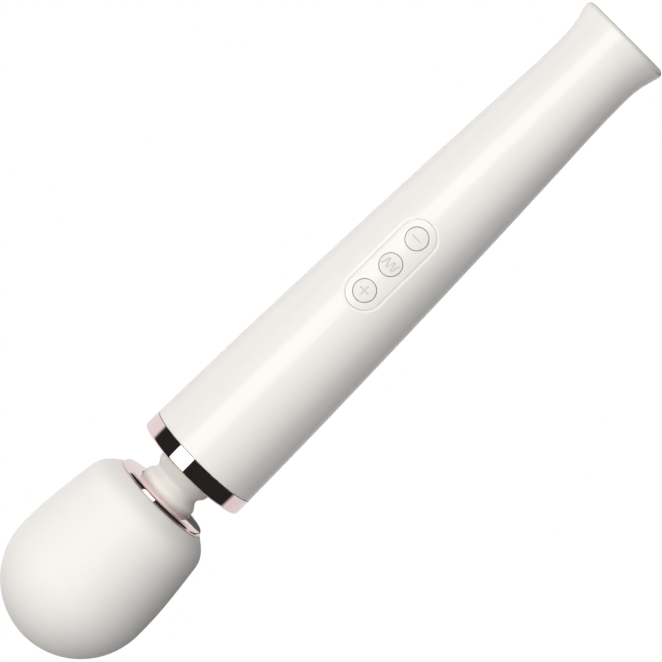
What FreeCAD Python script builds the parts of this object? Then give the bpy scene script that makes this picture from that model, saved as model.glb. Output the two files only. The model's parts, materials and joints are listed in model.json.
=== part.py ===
"""Cordless wand massager: flared handle, polished trim band, flexible neck and domed soft head.

Millimetres, +Z up along the wand's axis, with the wand standing on the flat rim of its tail.
The origin is the centre of that rim, and the three buttons face -Y.

The drive is the classic one for this family: a DC motor in the fat front of the handle turns a
coil-spring coupling that bends with the neck, and the spring turns an off-centre weight between
two ball bearings in the head. Two round cells, a control board and a charging socket fill the
rest of the handle.
"""

import FreeCAD, Part
import math
import os

V = FreeCAD.Vector
AXIS = V(0, 0, 1)

# ---------------------------------------------------------------- driving dimensions
LENGTH = 338.8

# handle
SEAM_Z = 236.2                # where the casing ends and the trim band begins
SEAM_R = 25.25
WALL = 2.2
RIM_ROUND = 2.4               # rounded edge of the flared tail
RIM_R = 20.45
# outline of the casing from the flare to the band, as (height, radius)
HANDLE_STATIONS = [(RIM_ROUND, RIM_R), (5.5, 19.62), (11.0, 18.25), (20.0, 17.65), (50.0, 18.72),
                   (100.0, 21.05), (150.0, 22.95), (200.0, 24.5), (SEAM_Z, SEAM_R)]
CAVITY_FLOOR = 5.8
CAP_FACE = 1.2                # outer face of the tail cap, sunk in the tail
LEDGE_Z = 4.6
LEDGE_R = 13.6
TAIL_BORE_R = 15.1
CAVITY_MIN_R = 15.45
CAVITY_START = 20.0
CAVITY_END = 230.0
SPIGOT_TOP = 240.6
SPIGOT_R = 23.9
SPIGOT_BORE = 22.0
TONGUE = 1.2                  # height of the lip on the rear shell that enters the front shell
TONGUE_T = 1.0
FIT_GAP = 0.1
TAIL_SCREW_X = 9.5
TAIL_SCREW_HEAD = 2.1
TAIL_SCREW_SEAT = 3.2
SOCKET_R = 3.6
SOCKET_BARREL_R = 4.0
SOCKET_END = 15.0
SOCKET_BORE = 1.75
SOCKET_DEPTH = 11.0
TAG_X = 1.6                   # the socket's two solder tags

# control panel
BUTTON_PITCH = 14.35
PANEL_Z = 127.9               # height of the middle button
BUTTON_R = 4.64
BUTTON_HOLE_R = 4.86
PANEL_DEPTH = 0.42            # how far the button panel lies below the handle's surface
PANEL_R = 7.74                # end radius of the button panel
PANEL_GAP = 0.22
PANEL_SEAT_R = 6.7            # end radius of its thinner inner step
PANEL_SEAT = 1.5              # depth of the casing ledge that it rests on
PANEL_BEVEL = (1.15, 0.52)    # width and depth of the bevel round the opening
BUTTON_PROUD = 0.12
BUTTON_TRAVEL = 0.5
BUTTON_EDGE = 0.3             # rounding of a keycap's face
BOSS_R = 2.2
FLANGE_R = 5.7
FLANGE_T = 1.0
MARK_DEPTH = 0.15
MARK_HALF_L = 2.0             # half length and half width of the strokes of the plus and the minus
MARK_HALF_W = 0.24
WAVE_SWING = 1.7
WAVE_REACH = 3.3
WAVE_STROKES = 5
BUTTONS = [("plus", PANEL_Z + BUTTON_PITCH), ("pattern", PANEL_Z), ("minus", PANEL_Z - BUTTON_PITCH)]

# control board
BOARD_Y = -11.0               # face that carries the switches
BOARD_T = 1.6
BOARD_W = 26.0
BOARD_Z = (92.0, 160.0)
SWITCH_W = 6.0
SWITCH_H = 3.5
STEM_R = 1.7
STEM_TOP = -16.2
STEM_DEPTH = 1.5              # how far the stem stands in its switch at rest
POST_X = 10.4
POST_Z = (95.5, 156.5)
POST_R = 2.2
POST_BORE = 0.8
POST_SCREW_L = 3.4
LEAD_D = 1.2

# battery
CELL_R = 9.2
CELL_LEN = 65.0
CELL_Y = 3.2
CELL_Z = (24.0, 91.0)
TRAY_R = 10.6
TRAY_Z = (20.5, 159.5)
TRAY_END = 2.0                # thickness of the tray's end walls
CLIP_Z = (52.0, 122.0)
CLIP_W = 6.0
SADDLE_Z = (40.0, 90.0, 138.0)    # ribs of the rear shell that carry the tray
SADDLE_T = 2.4
TAB_T = 0.3
TAB_HALF_W = 2.5
TAB_FRONT = -7.2

# motor
MOTOR_R = 17.9
MOTOR_Z = (170.0, 222.0)
MOTOR_WALL = 1.4
MOTOR_SHAFT_R = 1.6
MOTOR_SCREW_X = 9.0
MOTOR_SCREW_R = 1.2
BOSS_BORE = 4.0               # seats of the motor's two bushes
CORE_R = 13.8
CORE_Z = (180.0, 212.0)
WINDING_R = 11.0
WINDING_H = 2.5
MAGNET_R = 14.3
MAGNET_Z = (176.0, 216.0)
MAGNET_GAP = 4.0
ROTOR_SLOTS = 5
COMMUTATOR_R = 4.2
BRUSH_TIP = 4.25
BRUSH_END = 7.5
TERMINAL_Y = 11.5
TERMINAL_Z = 163.0
MOTOR_LEAD_D = 1.0
BRACKET_Z = (222.4, 225.4)
BRACKET_R = 21.6
BRACKET_RIB_BORE = 20.6
MOTOR_RIB_Z = (176.0, 178.5)
DAMPER_R = 22.45

# trim band, front plate and neck
BAND_R = 25.35
BAND_TOP = 243.8
BAND_LIP_R = 22.6
BAND_LIP_Z = 242.3
BAND_ROUND = 0.9
PLATE_Z = (237.0, 242.2)
PLATE_SEAT_Z = 239.5          # shoulder that the neck's lower flange bears on
PLATE_CROWN = 0.7
FLANGE_SEAT_R = 15.8          # radius of the recesses that hold the neck's flanges
CLAMP_R = 21.0
CLAMP_BORE = 7.2
CLAMP_LOW = 234.5
CLAMP_SCREW_RING = 18.6
NECK_BORE = 6.6
NECK_FLANGE_R = 15.6
NECK_HOLE_R = 13.1
NECK_Z = (237.1, 261.0)
# outline of the neck between its two flanges, as (height, radius)
NECK_STATIONS = [(239.4, 12.75), (247.4, 12.65), (249.0, 12.15), (250.2, 11.25), (251.8, 10.6),
                 (253.4, 11.3), (254.7, 12.3), (256.4, 12.8), (258.2, 12.5), (259.5, 12.3)]
SPRING_WIRE = 1.3
SPRING_MEAN_R = 4.15
SPRING_TURNS = 12
SPRING_Z = (233.7, 266.3)
HUB_R = 5.5
HUB_SPIGOT_R = 3.45
HUB_PIN_R = 1.0

# head
COLLAR_TOP = 260.8
COLLAR_R = 21.35
COLLAR_BEAD = 0.35            # height of the fine bead at its upper edge
COLLAR_BORE = 12.8
COLLAR_SEAT_Z = 259.4         # shoulder that the neck's upper flange bears on
COLLAR_SCREW_RING = 17.0
# wall and lower edge of the collar, as (height, radius)
COLLAR_WALL = [(260.25, 21.15), (259.8, 21.0), (259.3, 20.75), (258.95, 20.3)]
COLLAR_FACE = 258.3           # height of its underside at the bore
DOME_R = 32.3
DOME_Z = LENGTH - DOME_R
COVER_T = 2.8
SHELL_T = 2.2
# outline of the soft cover from the collar to the widest point, as (height, radius)
HEAD_STATIONS = [(260.9, 21.5), (262.4, 23.55), (264.1, 25.55), (266.2, 27.4), (268.7, 28.7),
                 (272.5, 29.45), (279.0, 30.3), (288.0, 31.35), (298.0, 32.12), (DOME_Z, DOME_R)]
BASE_R = 18.7
BASE_Z = 261.1
BASE_TOP = 272.0
BASE_FLOOR = 264.6
BASE_POST_R = 2.8
SHAFT_R = 3.0
BEARING_R = 9.5
BEARING_T = 6.0
BEARING_Z = (274.0, 316.0)
CARRIER_T = 5.0
CARRIER_SCREW_R = 16.6
SHELL_SCREW_Z = 274.5
SHELL_SCREW_SEAT = 25.3       # distance from the axis of the face their heads bear on
BALL_R = 1.75
BALL_RING = 6.3
BALLS = 9
WEIGHT_R = 17.5
WEIGHT_Z = (289.0, 309.0)
WEIGHT_EDGE = 1.0
HUB_OF_WEIGHT_R = 6.0


# ---------------------------------------------------------------- shape helpers
def cylinder(radius, z0, z1, x=0.0, y=0.0):
    return Part.makeCylinder(radius, z1 - z0, V(x, y, z0), AXIS)


def tube(outer, inner, z0, z1, x=0.0, y=0.0):
    return cylinder(outer, z0, z1, x, y).cut(cylinder(inner, z0 - 1, z1 + 1, x, y))


def rod(radius, x, y0, y1, z):
    """A cylinder along +Y."""
    return Part.makeCylinder(radius, y1 - y0, V(x, y0, z), V(0, 1, 0))


def block(x0, x1, y0, y1, z0, z1):
    return Part.makeBox(x1 - x0, y1 - y0, z1 - z0, V(x0, y0, z0))


def curve(stations, start=None, end=None):
    """A smooth edge through (height, radius) stations, with optional end tangents (radius, height)."""
    spline = Part.BSplineCurve()
    points = [V(r, 0, z) for z, r in stations]
    if start and end:
        spline.interpolate(Points=points, InitialTangent=V(start[0], 0, start[1]),
                           FinalTangent=V(end[0], 0, end[1]))
    else:
        spline.interpolate(points)
    return spline.toShape()


def line(a, b):
    """A straight edge between two (radius, height) points."""
    return Part.makeLine(V(a[0], 0, a[1]), V(b[0], 0, b[1]))


def arc(a, through, b):
    """A round edge through three (radius, height) points."""
    return Part.Arc(V(a[0], 0, a[1]), V(through[0], 0, through[1]), V(b[0], 0, b[1])).toShape()


def path(*points):
    """Straight edges joining (radius, height) points in turn."""
    return [line(a, b) for a, b in zip(points, points[1:])]


def lathe(edges):
    """The solid swept by a closed outline once round the wand's axis."""
    face = Part.Face(Part.Wire(Part.__sortEdges__(edges)))
    solid = face.revolve(V(0, 0, 0), AXIS, 360)
    if solid.Volume < 0:
        solid.reverse()
    return solid


def ring_of(solid, count, phase=0.0):
    """Copies of a solid spaced evenly round the wand's axis."""
    made = []
    for i in range(count):
        copy = solid.copy()
        copy.rotate(V(0, 0, 0), AXIS, phase + 360.0 * i / count)
        made.append(copy)
    return made


def level_edges(shape, z):
    """Edges of a shape that lie flat at a height."""
    return [e for e in shape.Edges if e.BoundBox.ZLength < 1e-6 and abs(e.BoundBox.ZMin - z) < 1e-6]


def radial_hole(radius, r0, r1, z):
    """A cylinder along +X from one distance from the axis to another."""
    return Part.makeCylinder(radius, r1 - r0, V(r0, 0, z), V(1, 0, 0))


def group(solids):
    return Part.makeCompound(solids)


def screw(radius, head_r, seat, tip, place=(0, 0), turn=0):
    """A pan-head screw whose head bears on the height seat and whose thread ends at tip.

    It runs along Z at place, or radially outside-in when turn is set: seat and tip are then
    distances from the wand's axis, place holds (0, height), and turn is the angle round the axis.
    """
    step = 1 if tip > seat else -1
    head_t = head_r * 0.75
    slot_w, slot_l, slot_d = head_r * 0.3, head_r * 1.2, head_t * 0.5
    crown = seat - step * head_t
    z0, z1 = sorted((crown, seat))
    body = cylinder(head_r, z0, z1)
    z0, z1 = sorted((seat, tip))
    body = body.fuse(cylinder(radius, z0, z1))
    z0, z1 = sorted((crown - step, crown + step * slot_d))
    cross = block(-slot_l / 2, slot_l / 2, -slot_w / 2, slot_w / 2, z0, z1)
    cross = cross.fuse(block(-slot_w / 2, slot_w / 2, -slot_l / 2, slot_l / 2, z0, z1))
    body = body.cut(cross)
    if turn:
        body.rotate(V(0, 0, 0), V(0, 1, 0), 90)
        body.translate(V(0, 0, place[1]))
        body.rotate(V(0, 0, 0), AXIS, turn)
    else:
        body.translate(V(place[0], place[1], 0))
    return body


def wire_route(points, diameter):
    """A round lead along straight runs joined by tangent arcs."""
    points = [V(*p) for p in points]
    edges, last = [], points[0]
    for before, corner, after in zip(points, points[1:], points[2:]):
        into = (corner - before).normalize()
        out = (after - corner).normalize()
        turn = math.acos(max(-1.0, min(1.0, into.dot(out))))
        reach = 0.45 * min((corner - before).Length, (after - corner).Length)
        radius = reach / math.tan(turn / 2)
        a = corner - into * reach
        b = corner + out * reach
        towards = (out - into).normalize()
        middle = corner + towards * (radius / math.cos(turn / 2) - radius)
        edges.append(Part.makeLine(last, a))
        edges.append(Part.Arc(a, middle, b).toShape())
        last = b
    edges.append(Part.makeLine(last, points[-1]))
    spine = Part.Wire(edges)
    start = (points[1] - points[0]).normalize()
    section = Part.Wire(Part.makeCircle(diameter / 2, points[0], start))
    return spine.makePipeShell([section], True, True)


def coil(mean_r, wire, z0, z1, turns):
    """A closed helical spring as one solid."""
    helix = Part.makeHelix((z1 - z0) / turns, z1 - z0, mean_r)
    helix.translate(V(0, 0, z0))
    section = Part.Wire(Part.makeCircle(wire / 2, V(mean_r, 0, z0), V(0, 1, 0)))
    return Part.Wire(helix.Edges).makePipeShell([section], True, True)


# ---------------------------------------------------------------- handle casing
def handle_radius(z):
    """Outer radius of the casing at a height."""
    edge = curve(HANDLE_STATIONS)
    level = Part.makeLine(V(0, 0, z), V(60, 0, z))
    return edge.distToShape(level)[1][0][0].x


def handle_curve(offset):
    return curve([(z, r - offset) for z, r in HANDLE_STATIONS])


def handle_solid(offset):
    """The handle's outer form from the flare to the band, drawn in by an offset."""
    top, flare = SEAM_R - offset, RIM_R - offset
    ends = path((top, SEAM_Z), (0, SEAM_Z), (0, RIM_ROUND), (flare, RIM_ROUND))
    return lathe([handle_curve(offset)] + ends)


def casing_outer():
    flat_r = RIM_R - RIM_ROUND
    bend = RIM_ROUND * (1 - math.sqrt(0.5))
    rim = arc((flat_r, 0), (RIM_R - bend, bend), (RIM_R, RIM_ROUND))
    return lathe([rim, handle_curve(0)] + path((SEAM_R, SEAM_Z), (0, SEAM_Z), (0, 0), (flat_r, 0)))


def casing_cavity():
    stations = [(CAVITY_START, CAVITY_MIN_R)]
    stations += [(z, r - WALL) for z, r in HANDLE_STATIONS if CAVITY_START < z < CAVITY_END]
    stations.append((CAVITY_END, SEAM_R - 0.25 - WALL))
    top_r = stations[-1][1]
    outline = path((top_r, CAVITY_END), (SPIGOT_BORE, CAVITY_END), (SPIGOT_BORE, SPIGOT_TOP + 1),
                   (0, SPIGOT_TOP + 1), (0, CAVITY_FLOOR), (CAVITY_MIN_R, CAVITY_FLOOR),
                   (CAVITY_MIN_R, CAVITY_START))
    return lathe([curve(stations)] + outline)


def casing_tube():
    tube_shape = casing_outer().fuse(cylinder(SPIGOT_R, SEAM_Z - 1, SPIGOT_TOP))
    tube_shape = tube_shape.cut(casing_cavity())
    tube_shape = tube_shape.cut(cylinder(TAIL_BORE_R, -1, LEDGE_Z))
    return tube_shape.cut(cylinder(LEDGE_R, 0, CAVITY_FLOOR + 0.1))


def inner_layer(thickness):
    """The inside skin of the casing wall, where the two shells overlap."""
    layer = handle_solid(WALL - thickness).cut(handle_solid(WALL))
    return layer.common(cylinder(60, CAVITY_START + 2, CAVITY_END - 4))


def bracket_ribs():
    """Two ring ribs that trap the motor bracket, and one that steadies the motor's rear."""
    ribs = []
    for z0, z1, bore in ((BRACKET_Z[0] - 2.6, BRACKET_Z[0] - 0.2, BRACKET_RIB_BORE),
                         (BRACKET_Z[1] + 0.2, BRACKET_Z[1] + 2.2, BRACKET_RIB_BORE),
                         (*MOTOR_RIB_Z, MOTOR_R + 0.3)):
        rib = handle_solid(WALL - 0.3).common(cylinder(60, z0, z1))
        ribs.append(rib.cut(cylinder(bore, z0 - 1, z1 + 1)))
    return ribs


def stadium(radius, half_pitch, y):
    """A closed oval outline in a plane of constant Y, round the outer buttons' axes."""
    top, low = PANEL_Z + half_pitch, PANEL_Z - half_pitch
    edges = [
        Part.makeLine(V(-radius, y, low), V(-radius, y, top)),
        Part.Arc(V(-radius, y, top), V(0, y, top + radius), V(radius, y, top)).toShape(),
        Part.makeLine(V(radius, y, top), V(radius, y, low)),
        Part.Arc(V(radius, y, low), V(0, y, low - radius), V(-radius, y, low)).toShape(),
    ]
    return Part.Wire(edges)


def stadium_bar(radius):
    """A bar along Y with the panel's oval section, long enough to pass through the casing."""
    return Part.Face(stadium(radius, BUTTON_PITCH, -30)).extrude(V(0, 16, 0))


def button_panel():
    """Oval insert with the three button holes, flush in a bevelled opening of the front shell."""
    cap = handle_solid(PANEL_DEPTH).cut(handle_solid(PANEL_SEAT)).common(stadium_bar(PANEL_R))
    step = handle_solid(PANEL_SEAT).cut(handle_solid(WALL)).common(stadium_bar(PANEL_SEAT_R))
    panel = cap.fuse(step)
    for _, z in BUTTONS:
        panel = panel.cut(rod(BUTTON_HOLE_R, 0, -30, -15, z))
    return panel.removeSplitter()


def on_panel_rim(edge, opening):
    """Whether an edge lies on the handle's surface, round the panel's opening."""
    half_height = BUTTON_PITCH + opening + 0.1
    if abs(edge.BoundBox.ZMin - PANEL_Z) > half_height or abs(edge.BoundBox.ZMax - PANEL_Z) > half_height:
        return False
    middle = edge.valueAt((edge.FirstParameter + edge.LastParameter) / 2)
    return abs(middle.x) < opening + 0.1 and math.hypot(middle.x, middle.y) > handle_radius(middle.z) - 0.05


def cut_panel_opening(shell):
    opening = PANEL_R + PANEL_GAP
    shell = shell.cut(stadium_bar(opening).cut(handle_solid(PANEL_SEAT)))
    rim = [e for e in shell.Edges if on_panel_rim(e, opening)]
    shell = shell.makeChamfer(*PANEL_BEVEL, rim)
    return shell.cut(stadium_bar(PANEL_SEAT_R + PANEL_GAP))


def front_shell(casing):
    shell = casing.common(block(-60, 60, -60, 0, -1, LENGTH))
    for rib in bracket_ribs():
        shell = shell.fuse(rib.common(block(-60, 60, -60, 0, 0, LENGTH)))
    within = handle_solid(WALL - 0.3)
    for z in POST_Z:
        for x in (-POST_X, POST_X):
            post = rod(POST_R, x, -24, BOARD_Y, z).common(within)
            shell = shell.fuse(post).cut(rod(POST_BORE, x, BOARD_Y - POST_SCREW_L - 0.2, BOARD_Y + 1, z))
    groove = inner_layer(TONGUE_T + FIT_GAP).common(block(-60, 60, -TONGUE - FIT_GAP, 1, 0, LENGTH))
    shell = shell.cut(groove)
    return cut_panel_opening(shell).removeSplitter()


def rear_shell(casing):
    shell = casing.common(block(-60, 60, 0, 60, -1, LENGTH))
    for rib in bracket_ribs():
        shell = shell.fuse(rib.common(block(-60, 60, 0, 60, 0, LENGTH)))
    shell = shell.fuse(inner_layer(TONGUE_T).common(block(-60, 60, -TONGUE, 0.5, 0, LENGTH)))
    for z in SADDLE_Z:
        saddle = handle_solid(WALL - 0.3).common(block(-60, 60, 5.0, 60, z, z + SADDLE_T))
        shell = shell.fuse(saddle.cut(cylinder(TRAY_R + FIT_GAP, z - 1, z + 4, 0, CELL_Y)))
    return shell.removeSplitter()


# ---------------------------------------------------------------- tail
def tail_cap():
    cap = cylinder(TAIL_BORE_R - 0.15, CAP_FACE, LEDGE_Z).fuse(cylinder(LEDGE_R - 0.1, LEDGE_Z, CAVITY_FLOOR))
    cap = cap.cut(cylinder(SOCKET_R + FIT_GAP, 0, 10))
    for x in (-TAIL_SCREW_X, TAIL_SCREW_X):
        cap = cap.cut(cylinder(1.3, 0, 10, x, 0)).cut(cylinder(2.3, 0, TAIL_SCREW_SEAT, x, 0))
    rim = [e for e in level_edges(cap, CAP_FACE) if e.BoundBox.XLength > TAIL_BORE_R]
    return cap.makeFillet(0.4, rim)


def tail_frame():
    """Plate inside the casing with two posts that the tail cap's screws pull on."""
    plate_top, post_top = 8.8, 12.5
    frame = cylinder(CAVITY_MIN_R - FIT_GAP, CAVITY_FLOOR, plate_top)
    frame = frame.cut(cylinder(SOCKET_BARREL_R + FIT_GAP, 0, 20))
    for x in (-TAIL_SCREW_X, TAIL_SCREW_X):
        frame = frame.fuse(cylinder(2.4, plate_top, post_top, x, 0)).cut(cylinder(1.0, 0, 12, x, 0))
    return frame


def tail_screws():
    return group([screw(1.0, TAIL_SCREW_HEAD, TAIL_SCREW_SEAT, 11.0, (x, 0))
                  for x in (-TAIL_SCREW_X, TAIL_SCREW_X)])


def charge_socket():
    """Barrel socket: a bore that opens in the tail cap, and two solder tags inside."""
    shoulder = CAVITY_FLOOR + 0.05
    body = cylinder(SOCKET_R, CAP_FACE, shoulder).fuse(cylinder(SOCKET_BARREL_R, shoulder, SOCKET_END))
    for x in (-TAG_X, TAG_X):
        body = body.fuse(block(x - 0.5, x + 0.5, -0.3, 0.3, SOCKET_END, SOCKET_END + 2.0))
    return body.cut(cylinder(SOCKET_BORE, 0, SOCKET_DEPTH))


def charge_leads():
    """Two leads from the socket's tags to the board, past the lower cell."""
    leads = []
    for side in (-1, 1):
        route = [(side * TAG_X, -0.3, 16.2), (side * TAG_X, -4.6, 16.2), (side * 2.4, -9.3, 18.4),
                 (side * 3.0, -10.4, 27.0), (side * 3.2, -10.5, 45.0), (side * 3.2, -11.2, 68.0),
                 (side * 2.2, -12.7, 86.0), (side * 1.3, -13.0, 95.0)]
        leads.append(wire_route(route, LEAD_D))
    return group(leads)


# ---------------------------------------------------------------- control board and buttons
def main_board():
    board = block(-BOARD_W / 2, BOARD_W / 2, BOARD_Y, BOARD_Y + BOARD_T, *BOARD_Z)
    board = board.makeFillet(1.5, [e for e in board.Edges if abs(e.BoundBox.YLength - BOARD_T) < 1e-6
                                   and e.BoundBox.XLength < 1e-6 and e.BoundBox.ZLength < 1e-6])
    for z in POST_Z:
        for x in (-POST_X, POST_X):
            board = board.cut(rod(1.15, x, -20, 0, z))
    return board


def board_screws():
    """Four screws from behind the board into the front shell's posts."""
    made = []
    for z in POST_Z:
        for x in (-POST_X, POST_X):
            back = BOARD_Y + BOARD_T
            body = rod(POST_BORE, x, BOARD_Y - POST_SCREW_L, back, z).fuse(rod(1.8, x, back, back + 1.3, z))
            cross = block(x - 1.1, x + 1.1, back + 0.6, back + 2, z - 0.25, z + 0.25)
            cross = cross.fuse(block(x - 0.25, x + 0.25, back + 0.6, back + 2, z - 1.1, z + 1.1))
            made.append(body.cut(cross))
    return group(made)


def board_chips():
    """Controller, motor driver, charger, inductor and reservoir capacitor."""
    back = BOARD_Y + BOARD_T
    controller = block(-9.0, -2.0, back, back + 1.0, 112.0, 119.0)
    driver = block(3.0, 9.0, back, back + 1.6, 140.0, 146.0)
    charger = block(3.0, 8.0, back, back + 1.2, 101.0, 105.0)
    inductor = block(-9.0, -3.0, back, back + 2.6, 100.0, 106.0)
    capacitor = Part.makeCylinder(1.5, 6.0, V(-6.5, back + 1.5, 140.0), AXIS)
    return group([controller, driver, charger, inductor, capacitor])


def board_connectors():
    """Three two-pin sockets: charging below, battery and motor above."""
    half_w, depth, height, wall = 3.4, 4.0, 5.0, 0.6
    made = []
    for x, z, mouth in ((0.0, 93.0, -2.0), (-4.6, 152.5, 2.0), (4.6, 152.5, 2.0)):
        shell = block(x - half_w, x + half_w, BOARD_Y - depth, BOARD_Y, z, z + height)
        opening = block(x - half_w + wall, x + half_w - wall, BOARD_Y - depth + wall, BOARD_Y - wall,
                        z + mouth, z + mouth + height)
        made.append(shell.cut(opening))
    return group(made)


def switch_body(z):
    half = SWITCH_W / 2
    body = block(-half, half, BOARD_Y - SWITCH_H, BOARD_Y, z - half, z + half)
    bottom = BOARD_Y - SWITCH_H + STEM_DEPTH + BUTTON_TRAVEL + FIT_GAP
    return body.cut(rod(STEM_R + FIT_GAP, 0, BOARD_Y - SWITCH_H - 1, bottom, z))


def switch_stem(z):
    return rod(STEM_R, 0, STEM_TOP, BOARD_Y - SWITCH_H + STEM_DEPTH, z)


def mark_solid(name, z):
    """The shape sunk into a button's face: a plus, a wave or a minus."""
    y0, y1 = -30, -10
    across = block(-MARK_HALF_L, MARK_HALF_L, y0, y1, z - MARK_HALF_W, z + MARK_HALF_W)
    if name == "minus":
        return across
    if name == "plus":
        return across.fuse(block(-MARK_HALF_W, MARK_HALF_W, y0, y1, z - MARK_HALF_L, z + MARK_HALF_L))
    corners = []
    for i in range(WAVE_STROKES + 1):
        corners.append((WAVE_REACH * (2 * i / WAVE_STROKES - 1), -WAVE_SWING * (-1) ** i))
    wave = None
    for (xa, za), (xb, zb) in zip(corners, corners[1:]):
        length = math.hypot(xb - xa, zb - za)
        stroke = block(0, length, y0, y1, -MARK_HALF_W, MARK_HALF_W)
        stroke = stroke.fuse(rod(MARK_HALF_W, length, y0, y1, 0))
        stroke.rotate(V(0, 0, 0), V(0, 1, 0), -math.degrees(math.atan2(zb - za, xb - xa)))
        stroke.translate(V(xa, 0, z + za))
        wave = wave.fuse(stroke) if wave else stroke
    return wave


def button(name, z):
    """A keycap: crowned face with its mark, a retaining flange and a boss that meets the switch."""
    inner = handle_radius(z) - WALL
    flange_top = -(math.sqrt(inner ** 2 - FLANGE_R ** 2) - 0.15)
    face = handle_solid(PANEL_DEPTH - BUTTON_PROUD)
    cap = rod(BUTTON_R, 0, -30, flange_top + 0.2, z).common(face)
    rim = [e for e in cap.Edges if e.BoundBox.YMax < flange_top - 0.5 and e.BoundBox.XLength > BUTTON_R]
    cap = cap.makeFillet(BUTTON_EDGE, rim)
    cap = cap.cut(mark_solid(name, z).cut(handle_solid(PANEL_DEPTH - BUTTON_PROUD + MARK_DEPTH)))
    cap = cap.fuse(rod(FLANGE_R, 0, flange_top, flange_top + FLANGE_T, z))
    return cap.fuse(rod(BOSS_R, 0, flange_top + 0.2, STEM_TOP, z)).removeSplitter()


# ---------------------------------------------------------------- battery
def cell(z0):
    body = cylinder(CELL_R, z0, z0 + CELL_LEN - 0.8, 0, CELL_Y)
    body = body.makeFillet(0.6, [e for e in body.Edges if e.BoundBox.ZLength < 1e-6])
    return body.fuse(cylinder(3.0, z0 + CELL_LEN - 1.0, z0 + CELL_LEN, 0, CELL_Y))


def battery_tray():
    z0, z1 = TRAY_Z
    tray = cylinder(TRAY_R, z0, z1, 0, CELL_Y)
    tray = tray.cut(cylinder(CELL_R + 0.2, z0 + TRAY_END, z1 - TRAY_END, 0, CELL_Y))
    tray = tray.cut(block(-30, 30, -30, CELL_Y + 1, z0 + TRAY_END, z1 - TRAY_END))
    for z in (z0 - 1, z1 - TRAY_END - 1):
        tray = tray.cut(block(-2.6, 2.6, -30, CELL_Y + 3, z, z + 4))
    return tray


def battery_clips():
    """Two spring clips that hold the cells down in the tray."""
    clips = []
    for z in CLIP_Z:
        clip = tube(TRAY_R, CELL_R + 0.2, z, z + CLIP_W, 0, CELL_Y)
        clips.append(clip.cut(block(-30, 30, CELL_Y + 1, 60, z - 1, z + CLIP_W + 1)))
    return group(clips)


def battery_tabs():
    """Nickel tabs at the pack's two ends, and the disc that links the cells."""
    z_low, z_high = CELL_Z[0], CELL_Z[1] + CELL_LEN
    low = block(-TAB_HALF_W, TAB_HALF_W, TAB_FRONT, CELL_Y + 3, z_low - TAB_T, z_low)
    link = cylinder(3.0, z_low + CELL_LEN, CELL_Z[1], 0, CELL_Y)
    high = block(-TAB_HALF_W, TAB_HALF_W, TAB_FRONT, CELL_Y + 3, z_high, z_high + TAB_T)
    return group([low, link, high])


def battery_leads():
    """Leads from the two tabs to the board's battery socket."""
    z_low, z_high = CELL_Z[0], CELL_Z[1] + CELL_LEN + TAB_T
    high = [(0.6, -6.6, z_high), (0.6, -6.6, z_high + 2.4), (-1.4, -9.6, z_high + 6.0),
            (-3.5, -12.8, z_high + 5.6), (-3.6, -13.2, z_high - 0.6)]
    low = [(1.8, -6.6, z_low), (1.8, -6.6, z_low + 2.6), (6.6, -7.0, z_low + 12.0),
           (8.2, -6.2, z_low + 30.0), (10.6, -6.0, z_low + 60.0), (11.5, -6.4, z_low + 90.0),
           (11.0, -6.8, z_low + 115.0), (7.0, -7.0, z_low + 131.0), (1.4, -8.2, z_low + 139.6),
           (-4.6, -10.8, z_low + 140.2), (-5.8, -13.0, z_low + 137.6), (-5.8, -13.3, z_low + 131.8)]
    return group([wire_route(high, LEAD_D), wire_route(low, LEAD_D)])


# ---------------------------------------------------------------- motor
def motor_can():
    z0, z1 = MOTOR_Z
    can = cylinder(MOTOR_R, z0, z1)
    can = can.makeFillet(1.2, level_edges(can, z1))
    can = can.cut(cylinder(MOTOR_R - MOTOR_WALL, z0 - 1, z1 - MOTOR_WALL))
    can = can.fuse(cylinder(BOSS_BORE + 1, z1 - MOTOR_WALL, z1 + 3.0))
    can = can.cut(cylinder(BOSS_BORE, z1 - 6, z1 + 2.2))
    can = can.cut(cylinder(MOTOR_SHAFT_R + 0.3, z1 - 6, z1 + 6))
    for x in (-MOTOR_SCREW_X, MOTOR_SCREW_X):
        can = can.cut(cylinder(MOTOR_SCREW_R + 0.05, z1 - 6, z1 + 1, x, 0))
    return can.removeSplitter()


def motor_end_cap():
    """Moulded brush cap with two terminals."""
    z0 = MOTOR_Z[0]
    outer_face = z0 - 3.5
    cap = cylinder(MOTOR_R - 0.1, outer_face, z0)
    cap = cap.fuse(cylinder(MOTOR_R - MOTOR_WALL - 0.05, z0, z0 + 2.0))
    cap = cap.cut(cylinder(BOSS_BORE, z0 - 2.7, z0 + 3))
    for y in (-TERMINAL_Y, TERMINAL_Y):
        cap = cap.fuse(block(-1.2, 1.2, y - 0.3, y + 0.3, TERMINAL_Z, outer_face))
    return cap.makeFillet(0.8, [e for e in level_edges(cap, outer_face) if e.BoundBox.XLength > MOTOR_R])


def motor_magnets():
    """Two arc magnets lining the can."""
    ring = tube(MOTOR_R - MOTOR_WALL - 0.02, MAGNET_R, *MAGNET_Z)
    half_gap = MAGNET_GAP / 2
    return group([ring.common(block(x0, x1, -30, 30, *MOTOR_Z))
                  for x0, x1 in ((-30, -half_gap), (half_gap, 30))])


def motor_bushes():
    outer, inner = BOSS_BORE - 0.02, MOTOR_SHAFT_R + 0.03
    return group([tube(outer, inner, MOTOR_Z[0] - 2.65, MOTOR_Z[0] + 1.2),
                  tube(outer, inner, MOTOR_Z[1] - 2.6, MOTOR_Z[1] + 2.15)])


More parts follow.
